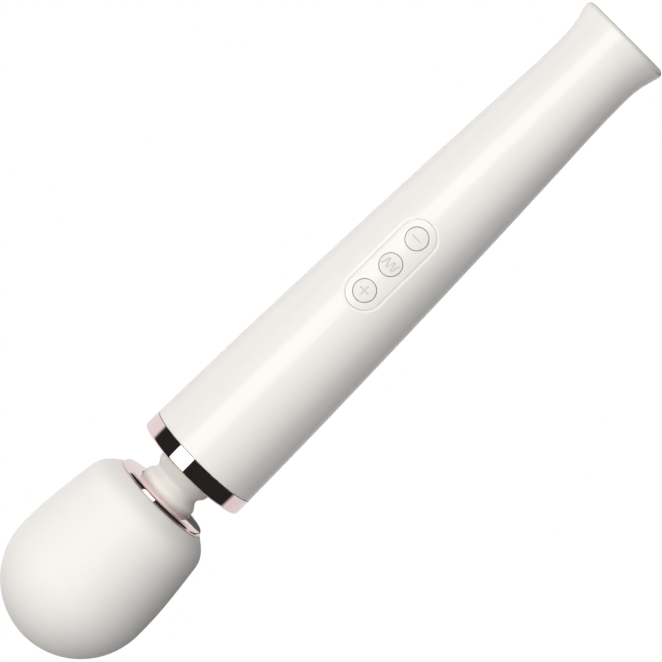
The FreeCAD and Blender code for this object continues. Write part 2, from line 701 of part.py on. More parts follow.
def motor_armature():
    """Laminated core with its slots, and the windings' end bulges."""
    z0, z1 = CORE_Z
    core = cylinder(CORE_R, z0, z1)
    slot = block(8.0, CORE_R + 1, -0.9, 0.9, z0 - 1, z1 + 1).fuse(cylinder(2.6, z0 - 1, z1 + 1, 8.6, 0))
    for cut in ring_of(slot, ROTOR_SLOTS, 90.0 / ROTOR_SLOTS):
        core = core.cut(cut)
    core = core.fuse(cylinder(WINDING_R, z0 - WINDING_H, z0)).fuse(cylinder(WINDING_R, z1, z1 + WINDING_H))
    return core.cut(cylinder(MOTOR_SHAFT_R, *MOTOR_Z))


def motor_commutator():
    z0, z1 = MOTOR_Z[0] + 2.2, CORE_Z[0] - WINDING_H
    ring = tube(COMMUTATOR_R, MOTOR_SHAFT_R, z0, z1)
    slit = block(3.0, 5.0, -0.2, 0.2, z0 - 1, z1 - 1.1)
    for cut in ring_of(slit, ROTOR_SLOTS, 90.0 / ROTOR_SLOTS):
        ring = ring.cut(cut)
    return ring


def motor_brushes():
    """Two carbon brushes on spring arms, either side of the commutator."""
    made = []
    z0 = MOTOR_Z[0] + 2.0
    for side in (-1, 1):
        x0, x1 = sorted((side * BRUSH_TIP, side * BRUSH_END))
        brush = block(x0, x1, -1.2, 1.2, z0 + 1.0, z0 + 3.6)
        x0, x1 = sorted((side * BRUSH_END, side * (BRUSH_END + 0.4)))
        made.append(brush.fuse(block(x0, x1, -1.5, 1.5, z0, z0 + 4.4)))
    return group(made)


def motor_shaft():
    shaft = cylinder(MOTOR_SHAFT_R, MOTOR_Z[0] - 2.3, 235.0)
    return shaft.makeChamfer(0.3, [e for e in shaft.Edges if e.BoundBox.ZLength < 1e-6])


def motor_bracket():
    z0, z1 = BRACKET_Z
    plate = cylinder(BRACKET_R, z0, z1).cut(cylinder(BOSS_BORE + 1.1, z0 - 1, z1 + 1))
    for x in (-MOTOR_SCREW_X, MOTOR_SCREW_X):
        plate = plate.cut(cylinder(MOTOR_SCREW_R + 0.3, z0 - 1, z1 + 1, x, 0))
    for window in ring_of(cylinder(3.6, z0 - 1, z1 + 1, 0, 14.5), 4, 45.0):
        plate = plate.cut(window)
    return plate


def motor_damper():
    """Rubber ring that isolates the bracket from the casing."""
    return tube(DAMPER_R, BRACKET_R + 0.02, BRACKET_Z[0] - 0.1, BRACKET_Z[1] + 0.1)


def motor_screws():
    tip = MOTOR_Z[1] - MOTOR_WALL + 0.2
    return group([screw(MOTOR_SCREW_R, 2 * MOTOR_SCREW_R, BRACKET_Z[1], tip, (x, 0))
                  for x in (-MOTOR_SCREW_X, MOTOR_SCREW_X)])


def motor_leads():
    """Leads from the board's motor socket to the motor's terminals."""
    joint = TERMINAL_Z + 1.8
    front = [(3.6, -13.2, 155.5), (3.6, -13.2, 161.0), (4.6, -TERMINAL_Y, joint), (1.2, -TERMINAL_Y, joint)]
    rear = [(5.9, -13.2, 155.5), (5.9, -13.2, 160.0), (8.4, -10.6, 163.6), (12.0, -3.6, 164.2),
            (11.6, 4.6, 164.4), (7.4, TERMINAL_Y, joint), (1.2, TERMINAL_Y, joint)]
    return group([wire_route(front, MOTOR_LEAD_D), wire_route(rear, MOTOR_LEAD_D)])


# ---------------------------------------------------------------- front of the handle and neck
def trim_band():
    inner = SPIGOT_R + 0.05
    low = SEAM_Z + FIT_GAP
    shoulder = BAND_TOP - BAND_ROUND
    flat_r = BAND_R - BAND_ROUND
    bend = BAND_ROUND * (1 - math.sqrt(0.5))
    chamfer = 0.15
    lip_chamfer = 0.3
    edges = path((inner, low), (BAND_R - chamfer, low), (BAND_R, low + chamfer), (BAND_R, shoulder))
    edges.append(arc((BAND_R, shoulder), (BAND_R - bend, BAND_TOP - bend), (flat_r, BAND_TOP)))
    edges += path((flat_r, BAND_TOP), (BAND_LIP_R + lip_chamfer, BAND_TOP),
                  (BAND_LIP_R, BAND_TOP - lip_chamfer), (BAND_LIP_R, BAND_LIP_Z), (inner, BAND_LIP_Z),
                  (inner, low))
    return lathe(edges)


def front_plate():
    """White plate that closes the handle round the neck and seats the neck's lower flange."""
    low, high = PLATE_Z
    body_r = SPIGOT_BORE - 0.1
    rim_r = SPIGOT_R - 0.05
    edges = path((FLANGE_SEAT_R, low), (body_r, low), (body_r, SPIGOT_TOP), (rim_r, SPIGOT_TOP),
                 (rim_r, high), (BAND_LIP_R - 0.1, high), (NECK_HOLE_R + 0.3, high + PLATE_CROWN),
                 (NECK_HOLE_R, high + PLATE_CROWN - 0.2), (NECK_HOLE_R, PLATE_SEAT_Z),
                 (FLANGE_SEAT_R, PLATE_SEAT_Z), (FLANGE_SEAT_R, low))
    plate = lathe(edges)
    for hole in ring_of(cylinder(0.95, low - 1, PLATE_SEAT_Z + 0.3, CLAMP_SCREW_RING, 0), 3, 90.0):
        plate = plate.cut(hole)
    return plate


def neck_clamp():
    clamp = tube(CLAMP_R, CLAMP_BORE, CLAMP_LOW, PLATE_Z[0])
    for hole in ring_of(cylinder(1.2, CLAMP_LOW - 1, PLATE_Z[0] + 1, CLAMP_SCREW_RING, 0), 3, 90.0):
        clamp = clamp.cut(hole)
    return clamp


def clamp_screws():
    one = screw(0.95, 1.9, CLAMP_LOW, PLATE_SEAT_Z + 0.1, (CLAMP_SCREW_RING, 0))
    return group(ring_of(one, 3, 90.0))


def neck_sleeve():
    """Soft hollow neck: a waist between two flanges, each clamped in a rigid part."""
    low, high = NECK_Z
    (low_face, low_r), (high_face, high_r) = NECK_STATIONS[0], NECK_STATIONS[-1]
    edges = path((NECK_BORE, low), (NECK_FLANGE_R, low), (NECK_FLANGE_R, low_face), (low_r, low_face))
    edges.append(curve(NECK_STATIONS, (0, 1), (0, 1)))
    edges += path((high_r, high_face), (NECK_FLANGE_R, high_face), (NECK_FLANGE_R, high), (NECK_BORE, high),
                  (NECK_BORE, low))
    return lathe(edges)


def lower_coupling():
    """Hub on the motor shaft that drives the spring, with its grub screw's hole."""
    hub = cylinder(HUB_R, 228.0, 233.0).fuse(cylinder(HUB_SPIGOT_R, 233.0, 240.0))
    hub = hub.cut(cylinder(MOTOR_SHAFT_R, 227, 235.0))
    return hub.cut(rod(HUB_PIN_R, 0, -6, 0, 230.5))


def upper_coupling():
    hub = cylinder(HUB_R, 267.0, 272.0).fuse(cylinder(HUB_SPIGOT_R, 260.0, 267.0))
    hub = hub.cut(cylinder(SHAFT_R, 268.0, 273))
    return hub.cut(rod(HUB_PIN_R, 0, -6, 0, 270.0))


def drive_spring():
    return coil(SPRING_MEAN_R, SPRING_WIRE, SPRING_Z[0], SPRING_Z[1], SPRING_TURNS)


# ---------------------------------------------------------------- head
def head_form():
    """The head's outline, as edges from the lower end to the crown."""
    bend = DOME_R * math.sqrt(0.5)
    return [curve(HEAD_STATIONS), arc((DOME_R, DOME_Z), (bend, DOME_Z + bend), (0, LENGTH))]


def core_solid(offset):
    """The rigid capsule's form, flat at the bottom: it backs the soft cover."""
    top = DOME_R - COVER_T - offset
    waist = 26.6 - offset
    side = curve([(BASE_TOP, waist), (288.0, 28.55 - offset), (298.0, 29.32 - offset), (DOME_Z, top)])
    dome = arc((top, DOME_Z), (top * math.sqrt(0.5), DOME_Z + top * math.sqrt(0.5)), (0, DOME_Z + top))
    return lathe([side, dome] + path((0, DOME_Z + top), (0, BASE_TOP), (waist, BASE_TOP)))


def base_outline():
    """Outer outline of the head base, from its underside to the capsule's joint."""
    return [(BASE_R, BASE_Z), (BASE_R, 262.6), (20.2, 264.2), (26.4, 271.0), (26.5, BASE_TOP)]


def head_cover():
    """Soft cover: the outer form less the capsule and the base that it is stretched over."""
    foot_z, foot_r = HEAD_STATIONS[0]
    outer = lathe(head_form() + path((0, LENGTH), (0, foot_z), (foot_r, foot_z)))
    hollow = core_solid(-0.02)
    inner_r = BASE_R + FIT_GAP
    under = lathe(path((0, foot_z - 1), (inner_r, foot_z - 1), (inner_r, 262.5), (20.3, 264.1),
                       (26.55, 270.95), (26.62, BASE_TOP), (0, BASE_TOP), (0, foot_z - 1)))
    return outer.cut(hollow).cut(under)


def head_shell():
    """Rigid capsule under the cover, with the upper bearing's seat in its crown."""
    shell = core_solid(0.05).cut(core_solid(SHELL_T))
    within = core_solid(SHELL_T - 0.4)
    seat = within.common(tube(12.0, 7.0, BEARING_Z[1] - 1.0, LENGTH))
    seat = seat.cut(cylinder(BEARING_R + 0.02, BEARING_Z[1] - 2, BEARING_Z[1] + BEARING_T + 0.1))
    shell = shell.fuse(seat)
    for hole in ring_of(radial_hole(1.1, 20.0, 28.0, SHELL_SCREW_Z), 3, 60.0):
        shell = shell.cut(hole)
    for hole in ring_of(radial_hole(1.9, SHELL_SCREW_SEAT, 28.0, SHELL_SCREW_Z), 3, 60.0):
        shell = shell.cut(hole)
    return shell


def head_base():
    """Cup that joins the capsule to the neck, with posts for the bearing carrier's screws."""
    outline = base_outline()
    wall_r = 21.4
    edges = path((CLAMP_BORE, BASE_Z), *outline)
    edges += path(outline[-1], (wall_r, BASE_TOP), (wall_r, 268.2), (18.9, BASE_FLOOR),
                  (CLAMP_BORE, BASE_FLOOR), (CLAMP_BORE, BASE_Z))
    base = lathe(edges)
    for post in ring_of(cylinder(BASE_POST_R, 264.0, BASE_TOP, CARRIER_SCREW_R, 0), 3):
        base = base.fuse(post)
    for hole in ring_of(cylinder(0.95, 265.0, BASE_TOP + 1, CARRIER_SCREW_R, 0), 3):
        base = base.cut(hole)
    for hole in ring_of(cylinder(1.1, BASE_Z - 1, BASE_FLOOR + 1, COLLAR_SCREW_RING, 0), 3, 60.0):
        base = base.cut(hole)
    return base


def head_collar():
    """Polished ring between the cover and the neck: a fine bead, a low wall and a flat cone below."""
    wall_top, wall_r = COLLAR_WALL[0]
    edge_z, edge_r = COLLAR_WALL[-1]
    bead_z = COLLAR_TOP - COLLAR_BEAD
    edges = path((FLANGE_SEAT_R, COLLAR_TOP), (COLLAR_R - 0.1, COLLAR_TOP), (COLLAR_R, COLLAR_TOP - 0.1),
                 (COLLAR_R, bead_z), (wall_r, wall_top))
    edges.append(curve(COLLAR_WALL, (0, -1), (-1, -0.15)))
    edges += path((edge_r, edge_z), (COLLAR_BORE + 0.3, COLLAR_FACE), (COLLAR_BORE, COLLAR_FACE + 0.3),
                  (COLLAR_BORE, COLLAR_SEAT_Z), (FLANGE_SEAT_R, COLLAR_SEAT_Z), (FLANGE_SEAT_R, COLLAR_TOP))
    collar = lathe(edges)
    for hole in ring_of(cylinder(0.9, COLLAR_SEAT_Z, COLLAR_TOP + 1, COLLAR_SCREW_RING, 0), 3, 60.0):
        collar = collar.cut(hole)
    return collar


def collar_screws():
    one = screw(0.9, 1.7, BASE_FLOOR, COLLAR_SEAT_Z + FIT_GAP, (COLLAR_SCREW_RING, 0))
    return group(ring_of(one, 3, 60.0))


def carrier_screws():
    return group(ring_of(screw(0.95, 1.9, BASE_TOP + CARRIER_T, 266.0, (CARRIER_SCREW_R, 0)), 3))


def shell_screws():
    """Three radial screws through the capsule into the carrier's edge, hidden by the cover."""
    tip = 20.0
    return group([screw(0.9, 1.7, SHELL_SCREW_SEAT, tip, (0, SHELL_SCREW_Z), turn)
                  for turn in (60.0, 180.0, 300.0)])


def bearing_carrier():
    """Disc that closes the cup, seats the lower bearing and anchors the capsule."""
    z0 = BASE_TOP
    disc = cylinder(24.1, z0, z0 + CARRIER_T).fuse(cylinder(12.5, z0, BEARING_Z[0] + BEARING_T))
    disc = disc.cut(cylinder(BEARING_R + 0.02, BEARING_Z[0], BEARING_Z[0] + BEARING_T + 1))
    disc = disc.cut(cylinder(7.0, z0 - 1, BEARING_Z[0] + 1))
    for hole in ring_of(cylinder(1.15, z0 - 1, z0 + 10, CARRIER_SCREW_R, 0), 3):
        disc = disc.cut(hole)
    for hole in ring_of(radial_hole(0.9, 19.5, 26.0, SHELL_SCREW_Z), 3, 60.0):
        disc = disc.cut(hole)
    return disc


def bearing_rings(outer, inner):
    return group([tube(outer, inner, z, z + BEARING_T) for z in BEARING_Z])


def bearing_balls():
    made = []
    for z in BEARING_Z:
        made += ring_of(Part.makeSphere(BALL_R, V(BALL_RING, 0, z + BEARING_T / 2)), BALLS)
    return group(made)


def head_shaft():
    shaft = cylinder(SHAFT_R, 268.0, BEARING_Z[1] + BEARING_T + 1.5)
    return shaft.makeChamfer(0.4, [e for e in shaft.Edges if e.BoundBox.ZLength < 1e-6])


def eccentric_weight():
    """Brass half-cylinder whose spin shakes the head."""
    z0, z1 = WEIGHT_Z
    half = cylinder(WEIGHT_R, z0, z1).common(block(-30, 30, 0, 30, z0, z1))
    ends = level_edges(half, z0) + level_edges(half, z1)
    half = half.makeFillet(WEIGHT_EDGE, [e for e in ends if e.BoundBox.YLength > WEIGHT_R / 2])
    weight = half.fuse(cylinder(HUB_OF_WEIGHT_R, z0, z1)).cut(cylinder(SHAFT_R, z0 - 1, z1 + 1))
    return weight.cut(rod(1.5, 0, -8, -2, (z0 + z1) / 2)).removeSplitter()


# ---------------------------------------------------------------- assembly
def all_parts():
    casing = casing_tube()
    parts = {
        "front_shell": front_shell(casing),
        "rear_shell": rear_shell(casing),
        "button_panel": button_panel(),
        "trim_band": trim_band(),
        "front_plate": front_plate(),
        "neck_clamp": neck_clamp(),
        "clamp_screws": clamp_screws(),
        "tail_cap": tail_cap(),
        "tail_frame": tail_frame(),
        "tail_screws": tail_screws(),
        "charge_socket": charge_socket(),
        "charge_leads": charge_leads(),
        "main_board": main_board(),
        "board_screws": board_screws(),
        "board_chips": board_chips(),
        "board_connectors": board_connectors(),
        "lower_cell": cell(CELL_Z[0]),
        "upper_cell": cell(CELL_Z[1]),
        "battery_tray": battery_tray(),
        "battery_clips": battery_clips(),
        "battery_tabs": battery_tabs(),
        "battery_leads": battery_leads(),
        "motor_can": motor_can(),
        "motor_end_cap": motor_end_cap(),
        "motor_magnets": motor_magnets(),
        "motor_bushes": motor_bushes(),
        "motor_armature": motor_armature(),
        "motor_commutator": motor_commutator(),
        "motor_brushes": motor_brushes(),
        "motor_shaft": motor_shaft(),
        "motor_bracket": motor_bracket(),
        "motor_damper": motor_damper(),
        "motor_screws": motor_screws(),
        "motor_leads": motor_leads(),
        "lower_coupling": lower_coupling(),
        "drive_spring": drive_spring(),
        "neck_sleeve": neck_sleeve(),
        "head_collar": head_collar(),
        "collar_screws": collar_screws(),
        "head_base": head_base(),
        "carrier_screws": carrier_screws(),
        "shell_screws": shell_screws(),
        "bearing_carrier": bearing_carrier(),
        "head_shell": head_shell(),
        "head_cover": head_cover(),
        "upper_coupling": upper_coupling(),
        "head_shaft": head_shaft(),
        "eccentric_weight": eccentric_weight(),
        "bearing_outer_rings": bearing_rings(BEARING_R, 8.2),
        "bearing_inner_rings": bearing_rings(4.4, SHAFT_R),
        "bearing_balls": bearing_balls(),
    }
    for name, z in BUTTONS:
        parts[name + "_button"] = button(name, z)
        parts[name + "_stem"] = switch_stem(z)
        parts[name + "_switch"] = switch_body(z)
    return parts


def main():
    os.makedirs("parts", exist_ok=True)
    for name, shape in all_parts().items():
        solids = shape.Solids
        state = "ok" if solids and all(s.isValid() and s.Volume > 0 for s in solids) else "BAD"
        print(f"{name:22s} {len(solids):3d} solids {sum(s.Volume for s in solids):10.1f} mm3  {state}")
        shape.exportStep(os.path.join("parts", name + ".step"))


main()
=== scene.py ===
"""Looks of the cordless wand massager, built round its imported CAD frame.

Sizes are in millimetres where a name says so and are turned into metres as each mesh is made.
Angles round the wand are measured from the buttons' side (-Y) towards +X.
"""

import json
import math

import bmesh
import bpy
import numpy as np
from mathutils import Matrix, Vector
from mathutils.geometry import delaunay_2d_cdt


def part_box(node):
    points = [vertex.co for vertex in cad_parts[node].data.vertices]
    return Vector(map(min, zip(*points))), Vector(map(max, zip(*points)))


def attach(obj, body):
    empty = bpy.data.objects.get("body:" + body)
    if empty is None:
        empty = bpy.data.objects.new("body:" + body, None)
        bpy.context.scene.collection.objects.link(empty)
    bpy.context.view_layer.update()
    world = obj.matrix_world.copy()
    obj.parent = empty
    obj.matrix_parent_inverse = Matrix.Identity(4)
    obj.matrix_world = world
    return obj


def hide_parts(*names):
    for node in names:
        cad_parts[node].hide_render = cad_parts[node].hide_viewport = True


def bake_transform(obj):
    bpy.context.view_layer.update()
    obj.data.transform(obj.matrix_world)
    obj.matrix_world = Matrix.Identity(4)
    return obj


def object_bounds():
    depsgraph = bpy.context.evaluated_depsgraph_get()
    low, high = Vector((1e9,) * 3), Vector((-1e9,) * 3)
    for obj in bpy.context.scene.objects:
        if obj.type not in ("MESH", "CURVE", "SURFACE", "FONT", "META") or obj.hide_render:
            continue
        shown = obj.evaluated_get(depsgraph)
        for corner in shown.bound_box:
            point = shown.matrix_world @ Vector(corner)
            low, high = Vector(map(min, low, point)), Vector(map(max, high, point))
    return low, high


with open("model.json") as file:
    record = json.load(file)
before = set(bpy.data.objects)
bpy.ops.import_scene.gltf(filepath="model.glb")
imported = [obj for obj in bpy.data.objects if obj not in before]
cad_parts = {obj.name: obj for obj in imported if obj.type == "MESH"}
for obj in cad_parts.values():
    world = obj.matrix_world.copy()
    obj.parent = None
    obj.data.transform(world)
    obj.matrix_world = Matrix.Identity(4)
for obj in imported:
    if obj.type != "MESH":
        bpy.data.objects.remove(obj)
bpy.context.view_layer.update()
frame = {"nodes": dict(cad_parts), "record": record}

MM = 0.001
SEGMENTS = 256

# ---------------------------------------------------------------- outlines, as (height, radius) in mm
RIM_ROUND = 2.4
RIM_R = 20.45
SEAM_Z = 236.2
SEAM_R = 25.25
HANDLE = [(RIM_ROUND, RIM_R), (5.5, 19.62), (11.0, 18.25), (20.0, 17.65), (50.0, 18.72),
          (100.0, 21.05), (150.0, 22.95), (200.0, 24.5), (SEAM_Z, SEAM_R)]
WALL = 2.2
COVER_T = 2.8
DOME_R = 32.3
DOME_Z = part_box("head_cover")[1].z / MM - DOME_R
HEAD = [(260.9, 21.5), (262.4, 23.55), (264.1, 25.55), (266.2, 27.4), (268.7, 28.7),
        (272.5, 29.45), (279.0, 30.3), (288.0, 31.35), (298.0, 32.12), (DOME_Z, DOME_R)]
WAIST_Z = 251.8
NECK_BORE = 6.6
NECK_FLANGE_R = 15.6
NECK_LOW = 237.1
NECK_HIGH = 261.0
NECK = [(239.4, 12.75), (247.4, 12.65), (249.0, 12.15), (250.2, 11.25), (WAIST_Z, 10.6),
        (253.4, 11.3), (254.7, 12.3), (256.4, 12.8), (258.2, 12.5), (259.5, 12.3)]

# control panel
PANEL_Z = 127.9
BUTTON_PITCH = 14.35
PANEL_DEPTH = 0.32
PANEL_R = 7.88
PANEL_OPENING_R = 7.96
PANEL_BEVEL_R = 9.11
PANEL_BEVEL_DEPTH = 0.38
PANEL_EDGE = 0.5                    # rounding of the insert's outer edge
PANEL_THICK = 1.0
HOLE_R = 4.86
BUTTON_R = 4.64
BUTTON_PROUD = 0.12
BUTTON_EDGE = 0.3
MARK_DEPTH = 0.15
MARK_HALF = 0.3
BUTTONS = {"plus": PANEL_Z + BUTTON_PITCH, "pattern": PANEL_Z, "minus": PANEL_Z - BUTTON_PITCH}


# ---------------------------------------------------------------- camera
CAMERA_DISTANCE = 1.6
CAMERA_AZIMUTH = math.radians(-4.6)
CAMERA_HEIGHT = 0.004
AIM_HEIGHT = 0.16505
AIM_SIDE = -0.00021
CAMERA_LENS = 220.35
CAMERA_SENSOR = 36.0
RIGHT_IN_PICTURE = math.radians(134.78)     # where the wand's right-hand side points in the picture


def make_camera():
    side = Vector((math.cos(CAMERA_AZIMUTH), math.sin(CAMERA_AZIMUTH), 0))
    towards = Vector((math.sin(CAMERA_AZIMUTH), -math.cos(CAMERA_AZIMUTH), 0))
    place = towards * CAMERA_DISTANCE + Vector((0, 0, CAMERA_HEIGHT))
    aim = side * AIM_SIDE + Vector((0, 0, AIM_HEIGHT))
    back = (place - aim).normalized()
    right = (side - back * side.dot(back)).normalized()
    up = back.cross(right)
    c, s = math.cos(RIGHT_IN_PICTURE), math.sin(RIGHT_IN_PICTURE)
    picture_x = right * c - up * s
    picture_y = right * s + up * c
    data = bpy.data.cameras.new("camera")
    data.lens = CAMERA_LENS
    data.sensor_width = CAMERA_SENSOR
    data.clip_end = 20.0
    camera = bpy.data.objects.new("camera", data)
    camera.matrix_world = Matrix((
        (picture_x.x, picture_y.x, back.x, place.x),
        (picture_x.y, picture_y.y, back.y, place.y),
        (picture_x.z, picture_y.z, back.z, place.z),
        (0, 0, 0, 1)))
    bpy.context.scene.collection.objects.link(camera)
    bpy.context.scene.camera = camera
    return towards, side


# ---------------------------------------------------------------- curve helpers
def spline(points, per_span=12):
    """Points along a smooth cubic curve through the given ones, evenly shared between the spans."""
    p = np.array(points, float)
    t = np.concatenate([[0], np.cumsum(np.linalg.norm(np.diff(p, axis=0), axis=1))])
    n = len(p)
    h = np.diff(t)
    a = np.zeros((n, n))
    b = np.zeros((n, p.shape[1]))
    a[0, 0] = a[-1, -1] = 1
    for i in range(1, n - 1):
        a[i, i - 1:i + 2] = h[i - 1], 2 * (h[i - 1] + h[i]), h[i]
        b[i] = 6 * ((p[i + 1] - p[i]) / h[i] - (p[i] - p[i - 1]) / h[i - 1])
    m = np.linalg.solve(a, b)
    made = []
    for i in range(n - 1):
        for u in np.linspace(0, h[i], per_span, endpoint=False):
            v = h[i] - u
            made.append((m[i] * v ** 3 + m[i + 1] * u ** 3) / (6 * h[i])
                        + (p[i] / h[i] - m[i] * h[i] / 6) * v + (p[i + 1] / h[i] - m[i + 1] * h[i] / 6) * u)
    made.append(p[-1])
    return [tuple(q) for q in made]


def turned(points):
    """(height, radius) stations as the (radius, height) points of an outline."""
    return [(r, z) for z, r in points]


def round_corner(centre, radius, start, end, steps=8):
    """Points of an arc in an outline, with angles in degrees from outward."""
    made = []
    for i in range(steps + 1):
        angle = math.radians(start + (end - start) * i / steps)
        made.append((centre[0] + radius * math.cos(angle), centre[1] + radius * math.sin(angle)))
    return made


HANDLE_FINE = np.array(spline(HANDLE, 40))


def handle_r(z):
    return float(np.interp(z, HANDLE_FINE[:, 0], HANDLE_FINE[:, 1]))


def smooth(low, high, value):
    t = min(1.0, max(0.0, (value - low) / (high - low)))
    return t * t * (3 - 2 * t)


# ---------------------------------------------------------------- mesh helpers
def finish_mesh(name, bm, body=None, merge=0.0):
    """Turns a bmesh in millimetres into an object in metres."""
    if merge:
        bmesh.ops.remove_doubles(bm, verts=bm.verts, dist=merge)
    bmesh.ops.delete(bm, geom=[v for v in bm.verts if not v.link_faces], context="VERTS")
    bmesh.ops.recalc_face_normals(bm, faces=bm.faces)
    bmesh.ops.scale(bm, vec=(MM, MM, MM), verts=bm.verts)
    mesh = bpy.data.meshes.new(name)
    bm.to_mesh(mesh)
    bm.free()
    mesh.polygons.foreach_set("use_smooth", [True] * len(mesh.polygons))
    piece = bpy.data.objects.new(name, mesh)
    bpy.context.scene.collection.objects.link(piece)
    if body:
        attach(piece, body)
    return piece


def sharpen(piece, degrees=35):
    """Marks edges that turn more than an angle as sharp, so that flat lands stay crisp."""
    bm = bmesh.new()
    bm.from_mesh(piece.data)
    for edge in bm.edges:
        if len(edge.link_faces) == 2 and edge.calc_face_angle(0) > math.radians(degrees):
            edge.smooth = False
    bm.to_mesh(piece.data)
    bm.free()
    return piece


def around(radius, angle, z):
    return (radius * math.sin(angle), -radius * math.cos(angle), z)


def ring_grid(bm, outline, angles, closed_round, closed_outline=True, skip=None):
    """Quads of an outline of (radius, height) points turned through the given angles."""
    columns = []
    for angle in angles:
        columns.append([bm.verts.new(around(r, angle, z)) for r, z in outline])
    n, m = len(angles), len(outline)
    for i in range(n if closed_round else n - 1):
        for j in range(m if closed_outline else m - 1):
            if skip and skip(i, j):
                continue
            a, b = columns[i], columns[(i + 1) % n]
            k = (j + 1) % m
            bm.faces.new((a[j], a[k], b[k], b[j]))
    return columns


def lathe(name, outline, body=None, segments=SEGMENTS):
    """A full turn of a closed outline."""
    bm = bmesh.new()
    ring_grid(bm, outline, [2 * math.pi * i / segments for i in range(segments)], True)
    return sharpen(finish_mesh(name, bm, body))


def dome(name, side, body=None, segments=SEGMENTS):
    """A full turn of an outline that starts and ends on the axis."""
    bm = bmesh.new()
    angles = [2 * math.pi * i / segments for i in range(segments)]
    inner = [p for p in side if p[0] > 1e-6]
    columns = ring_grid(bm, inner, angles, True, closed_outline=False)
    for row, tip in ((0, side[0]), (len(inner) - 1, side[-1])):
        if tip[0] <= 1e-6:
            centre = bm.verts.new((0, 0, tip[1]))
            for i in range(segments):
                bm.faces.new((columns[i][row], columns[(i + 1) % segments][row], centre))
    return sharpen(finish_mesh(name, bm, body))


# ---------------------------------------------------------------- flat regions laid on the casing
def stadium_loop(radius, step=0.5):
    """Points (across, height) round an oval about the outer buttons' axes."""
    top, low = PANEL_Z + BUTTON_PITCH, PANEL_Z - BUTTON_PITCH
    straight = round((top - low) / step)
    bend = round(math.pi * radius / step)
    points = [(radius, low + (top - low) * i / straight) for i in range(straight)]
    points += [(radius * math.cos(math.pi * i / bend), top + radius * math.sin(math.pi * i / bend))
               for i in range(bend)]
    points += [(-radius, top - (top - low) * i / straight) for i in range(straight)]
    points += [(-radius * math.cos(math.pi * i / bend), low - radius * math.sin(math.pi * i / bend))
               for i in range(bend)]
    return points


def stadium_distance(x, z):
    return math.hypot(x, max(0.0, abs(z - PANEL_Z) - BUTTON_PITCH))


def circle_loop(radius, z, count=96):
    turns = [2 * math.pi * i / count for i in range(count)]
    return [(radius * math.cos(a), z + radius * math.sin(a)) for a in turns]


def staggered(x0, x1, z0, z1, step, wanted):
    """Loose points on a staggered grid, where wanted."""
    made = []
    rows = int((z1 - z0) / (step * 0.87))
    for j in range(1, rows):
        z = z0 + (z1 - z0) * j / rows
        x = x0 + step * (0.7 if j % 2 else 1.2)
        while x < x1 - step * 0.6:
            if wanted(x, z):
                made.append((x, z))
            x += step
    return made


def triangulate(loops, fill, keep):
    """Triangles over a flat region bounded and marked by closed loops, with loose points inside."""
    points, edges = [], []
    for loop in loops:
        start = len(points)
        points += [Vector(p) for p in loop]
        edges += [(start + i, start + (i + 1) % len(loop)) for i in range(len(loop))]
    points += [Vector(p) for p in fill]
    flat, _, faces, _, _, _ = delaunay_2d_cdt(points, edges, [], 0, 1e-6)
    kept = []
    for face in faces:
        centre = sum((flat[i] for i in face), Vector((0, 0))) / len(face)
        if keep(centre.x, centre.y):
            kept.append(face)
    return flat, kept


def edge_drop(distance, radius):
    """How far a rounded edge has fallen at a distance from the edge."""
    if distance >= radius:
        return 0.0
    share = 1 - max(0.0, distance) / radius
    return radius * (1 - math.sqrt(max(0.0, 1 - share * share)))


# ---------------------------------------------------------------- casing
FRONT_COLUMNS = 160
PATCH_COLUMNS = 28                  # columns each side of the buttons that the opening's patch spans
PATCH_LOW = 104
PATCH_HIGH = 156
FLAT_R = 22.0                       # radius at which the patch is unrolled
TAIL_BORE_R = 15.1
LEDGE_R = 13.6
LEDGE_Z = 4.6
CAVITY_FLOOR = 5.8
CAVITY_MIN_R = 15.45
CAVITY_START = 20.0
CAVITY_END = 230.0
FLARE_TOP = 30.0                    # the outline needs finer steps below this height
SPIGOT_R = 23.9
SPIGOT_TOP = 240.6
SPIGOT_BORE = 22.0
PARTING = 0.12                      # how far the shells' edges are broken along the parting line
PARTING_SHOULDER = 0.2              # share of that at the next column
EDGE_COLUMNS = (0.0, 0.006, 0.014)  # columns close to each parting edge, in radians from it
SPIGOT_POINTS = 3                   # points of the outside on the spigot, which has no broken edge
PATCH_STEP = 0.9                    # spacing of the loose points in the patch
BEVEL_RINGS = (0.12, 0.35, 0.6, 0.8, 0.88, 0.94, 1.0, 1.12)     # as shares of the bevel's width
BEVEL_SOFT = 0.2                    # share of the bevel's width over which its slope sets in


def inner_r(z):
    return handle_r(z) - WALL


def casing_outside():
    """Outer side of the casing from the tail's bore to the top of the spigot."""
    lip = 0.35
    outer = [(TAIL_BORE_R, LEDGE_Z)]
    outer += round_corner((TAIL_BORE_R + lip, lip), lip, 180, 270, 4)
    outer += round_corner((RIM_R - RIM_ROUND, RIM_ROUND), RIM_ROUND, 270, 360, 14)
    heights = list(np.arange(3.0, FLARE_TOP, 0.5)) + list(np.arange(FLARE_TOP, SEAM_Z - 0.5, 1.0))
    outer += [(handle_r(z), float(z)) for z in heights]
    edge = 0.14
    outer += round_corner((SEAM_R - edge, SEAM_Z - edge), edge, 0, 90, 4)
    outer += [(SPIGOT_R, SEAM_Z), (SPIGOT_R, SPIGOT_TOP), (SPIGOT_BORE, SPIGOT_TOP)]
    return outer


def casing_inside():
    """Inner side of the casing, from the spigot back down to the tail's ledge."""
    inner = [(SPIGOT_BORE, CAVITY_END + 0.5)]
    inner += [(inner_r(z), float(z)) for z in np.arange(CAVITY_END, CAVITY_START + 1, -2.0)]
    return inner + [(CAVITY_MIN_R, CAVITY_START), (CAVITY_MIN_R, CAVITY_FLOOR), (LEDGE_R, CAVITY_FLOOR),
                    (LEDGE_R, LEDGE_Z)]


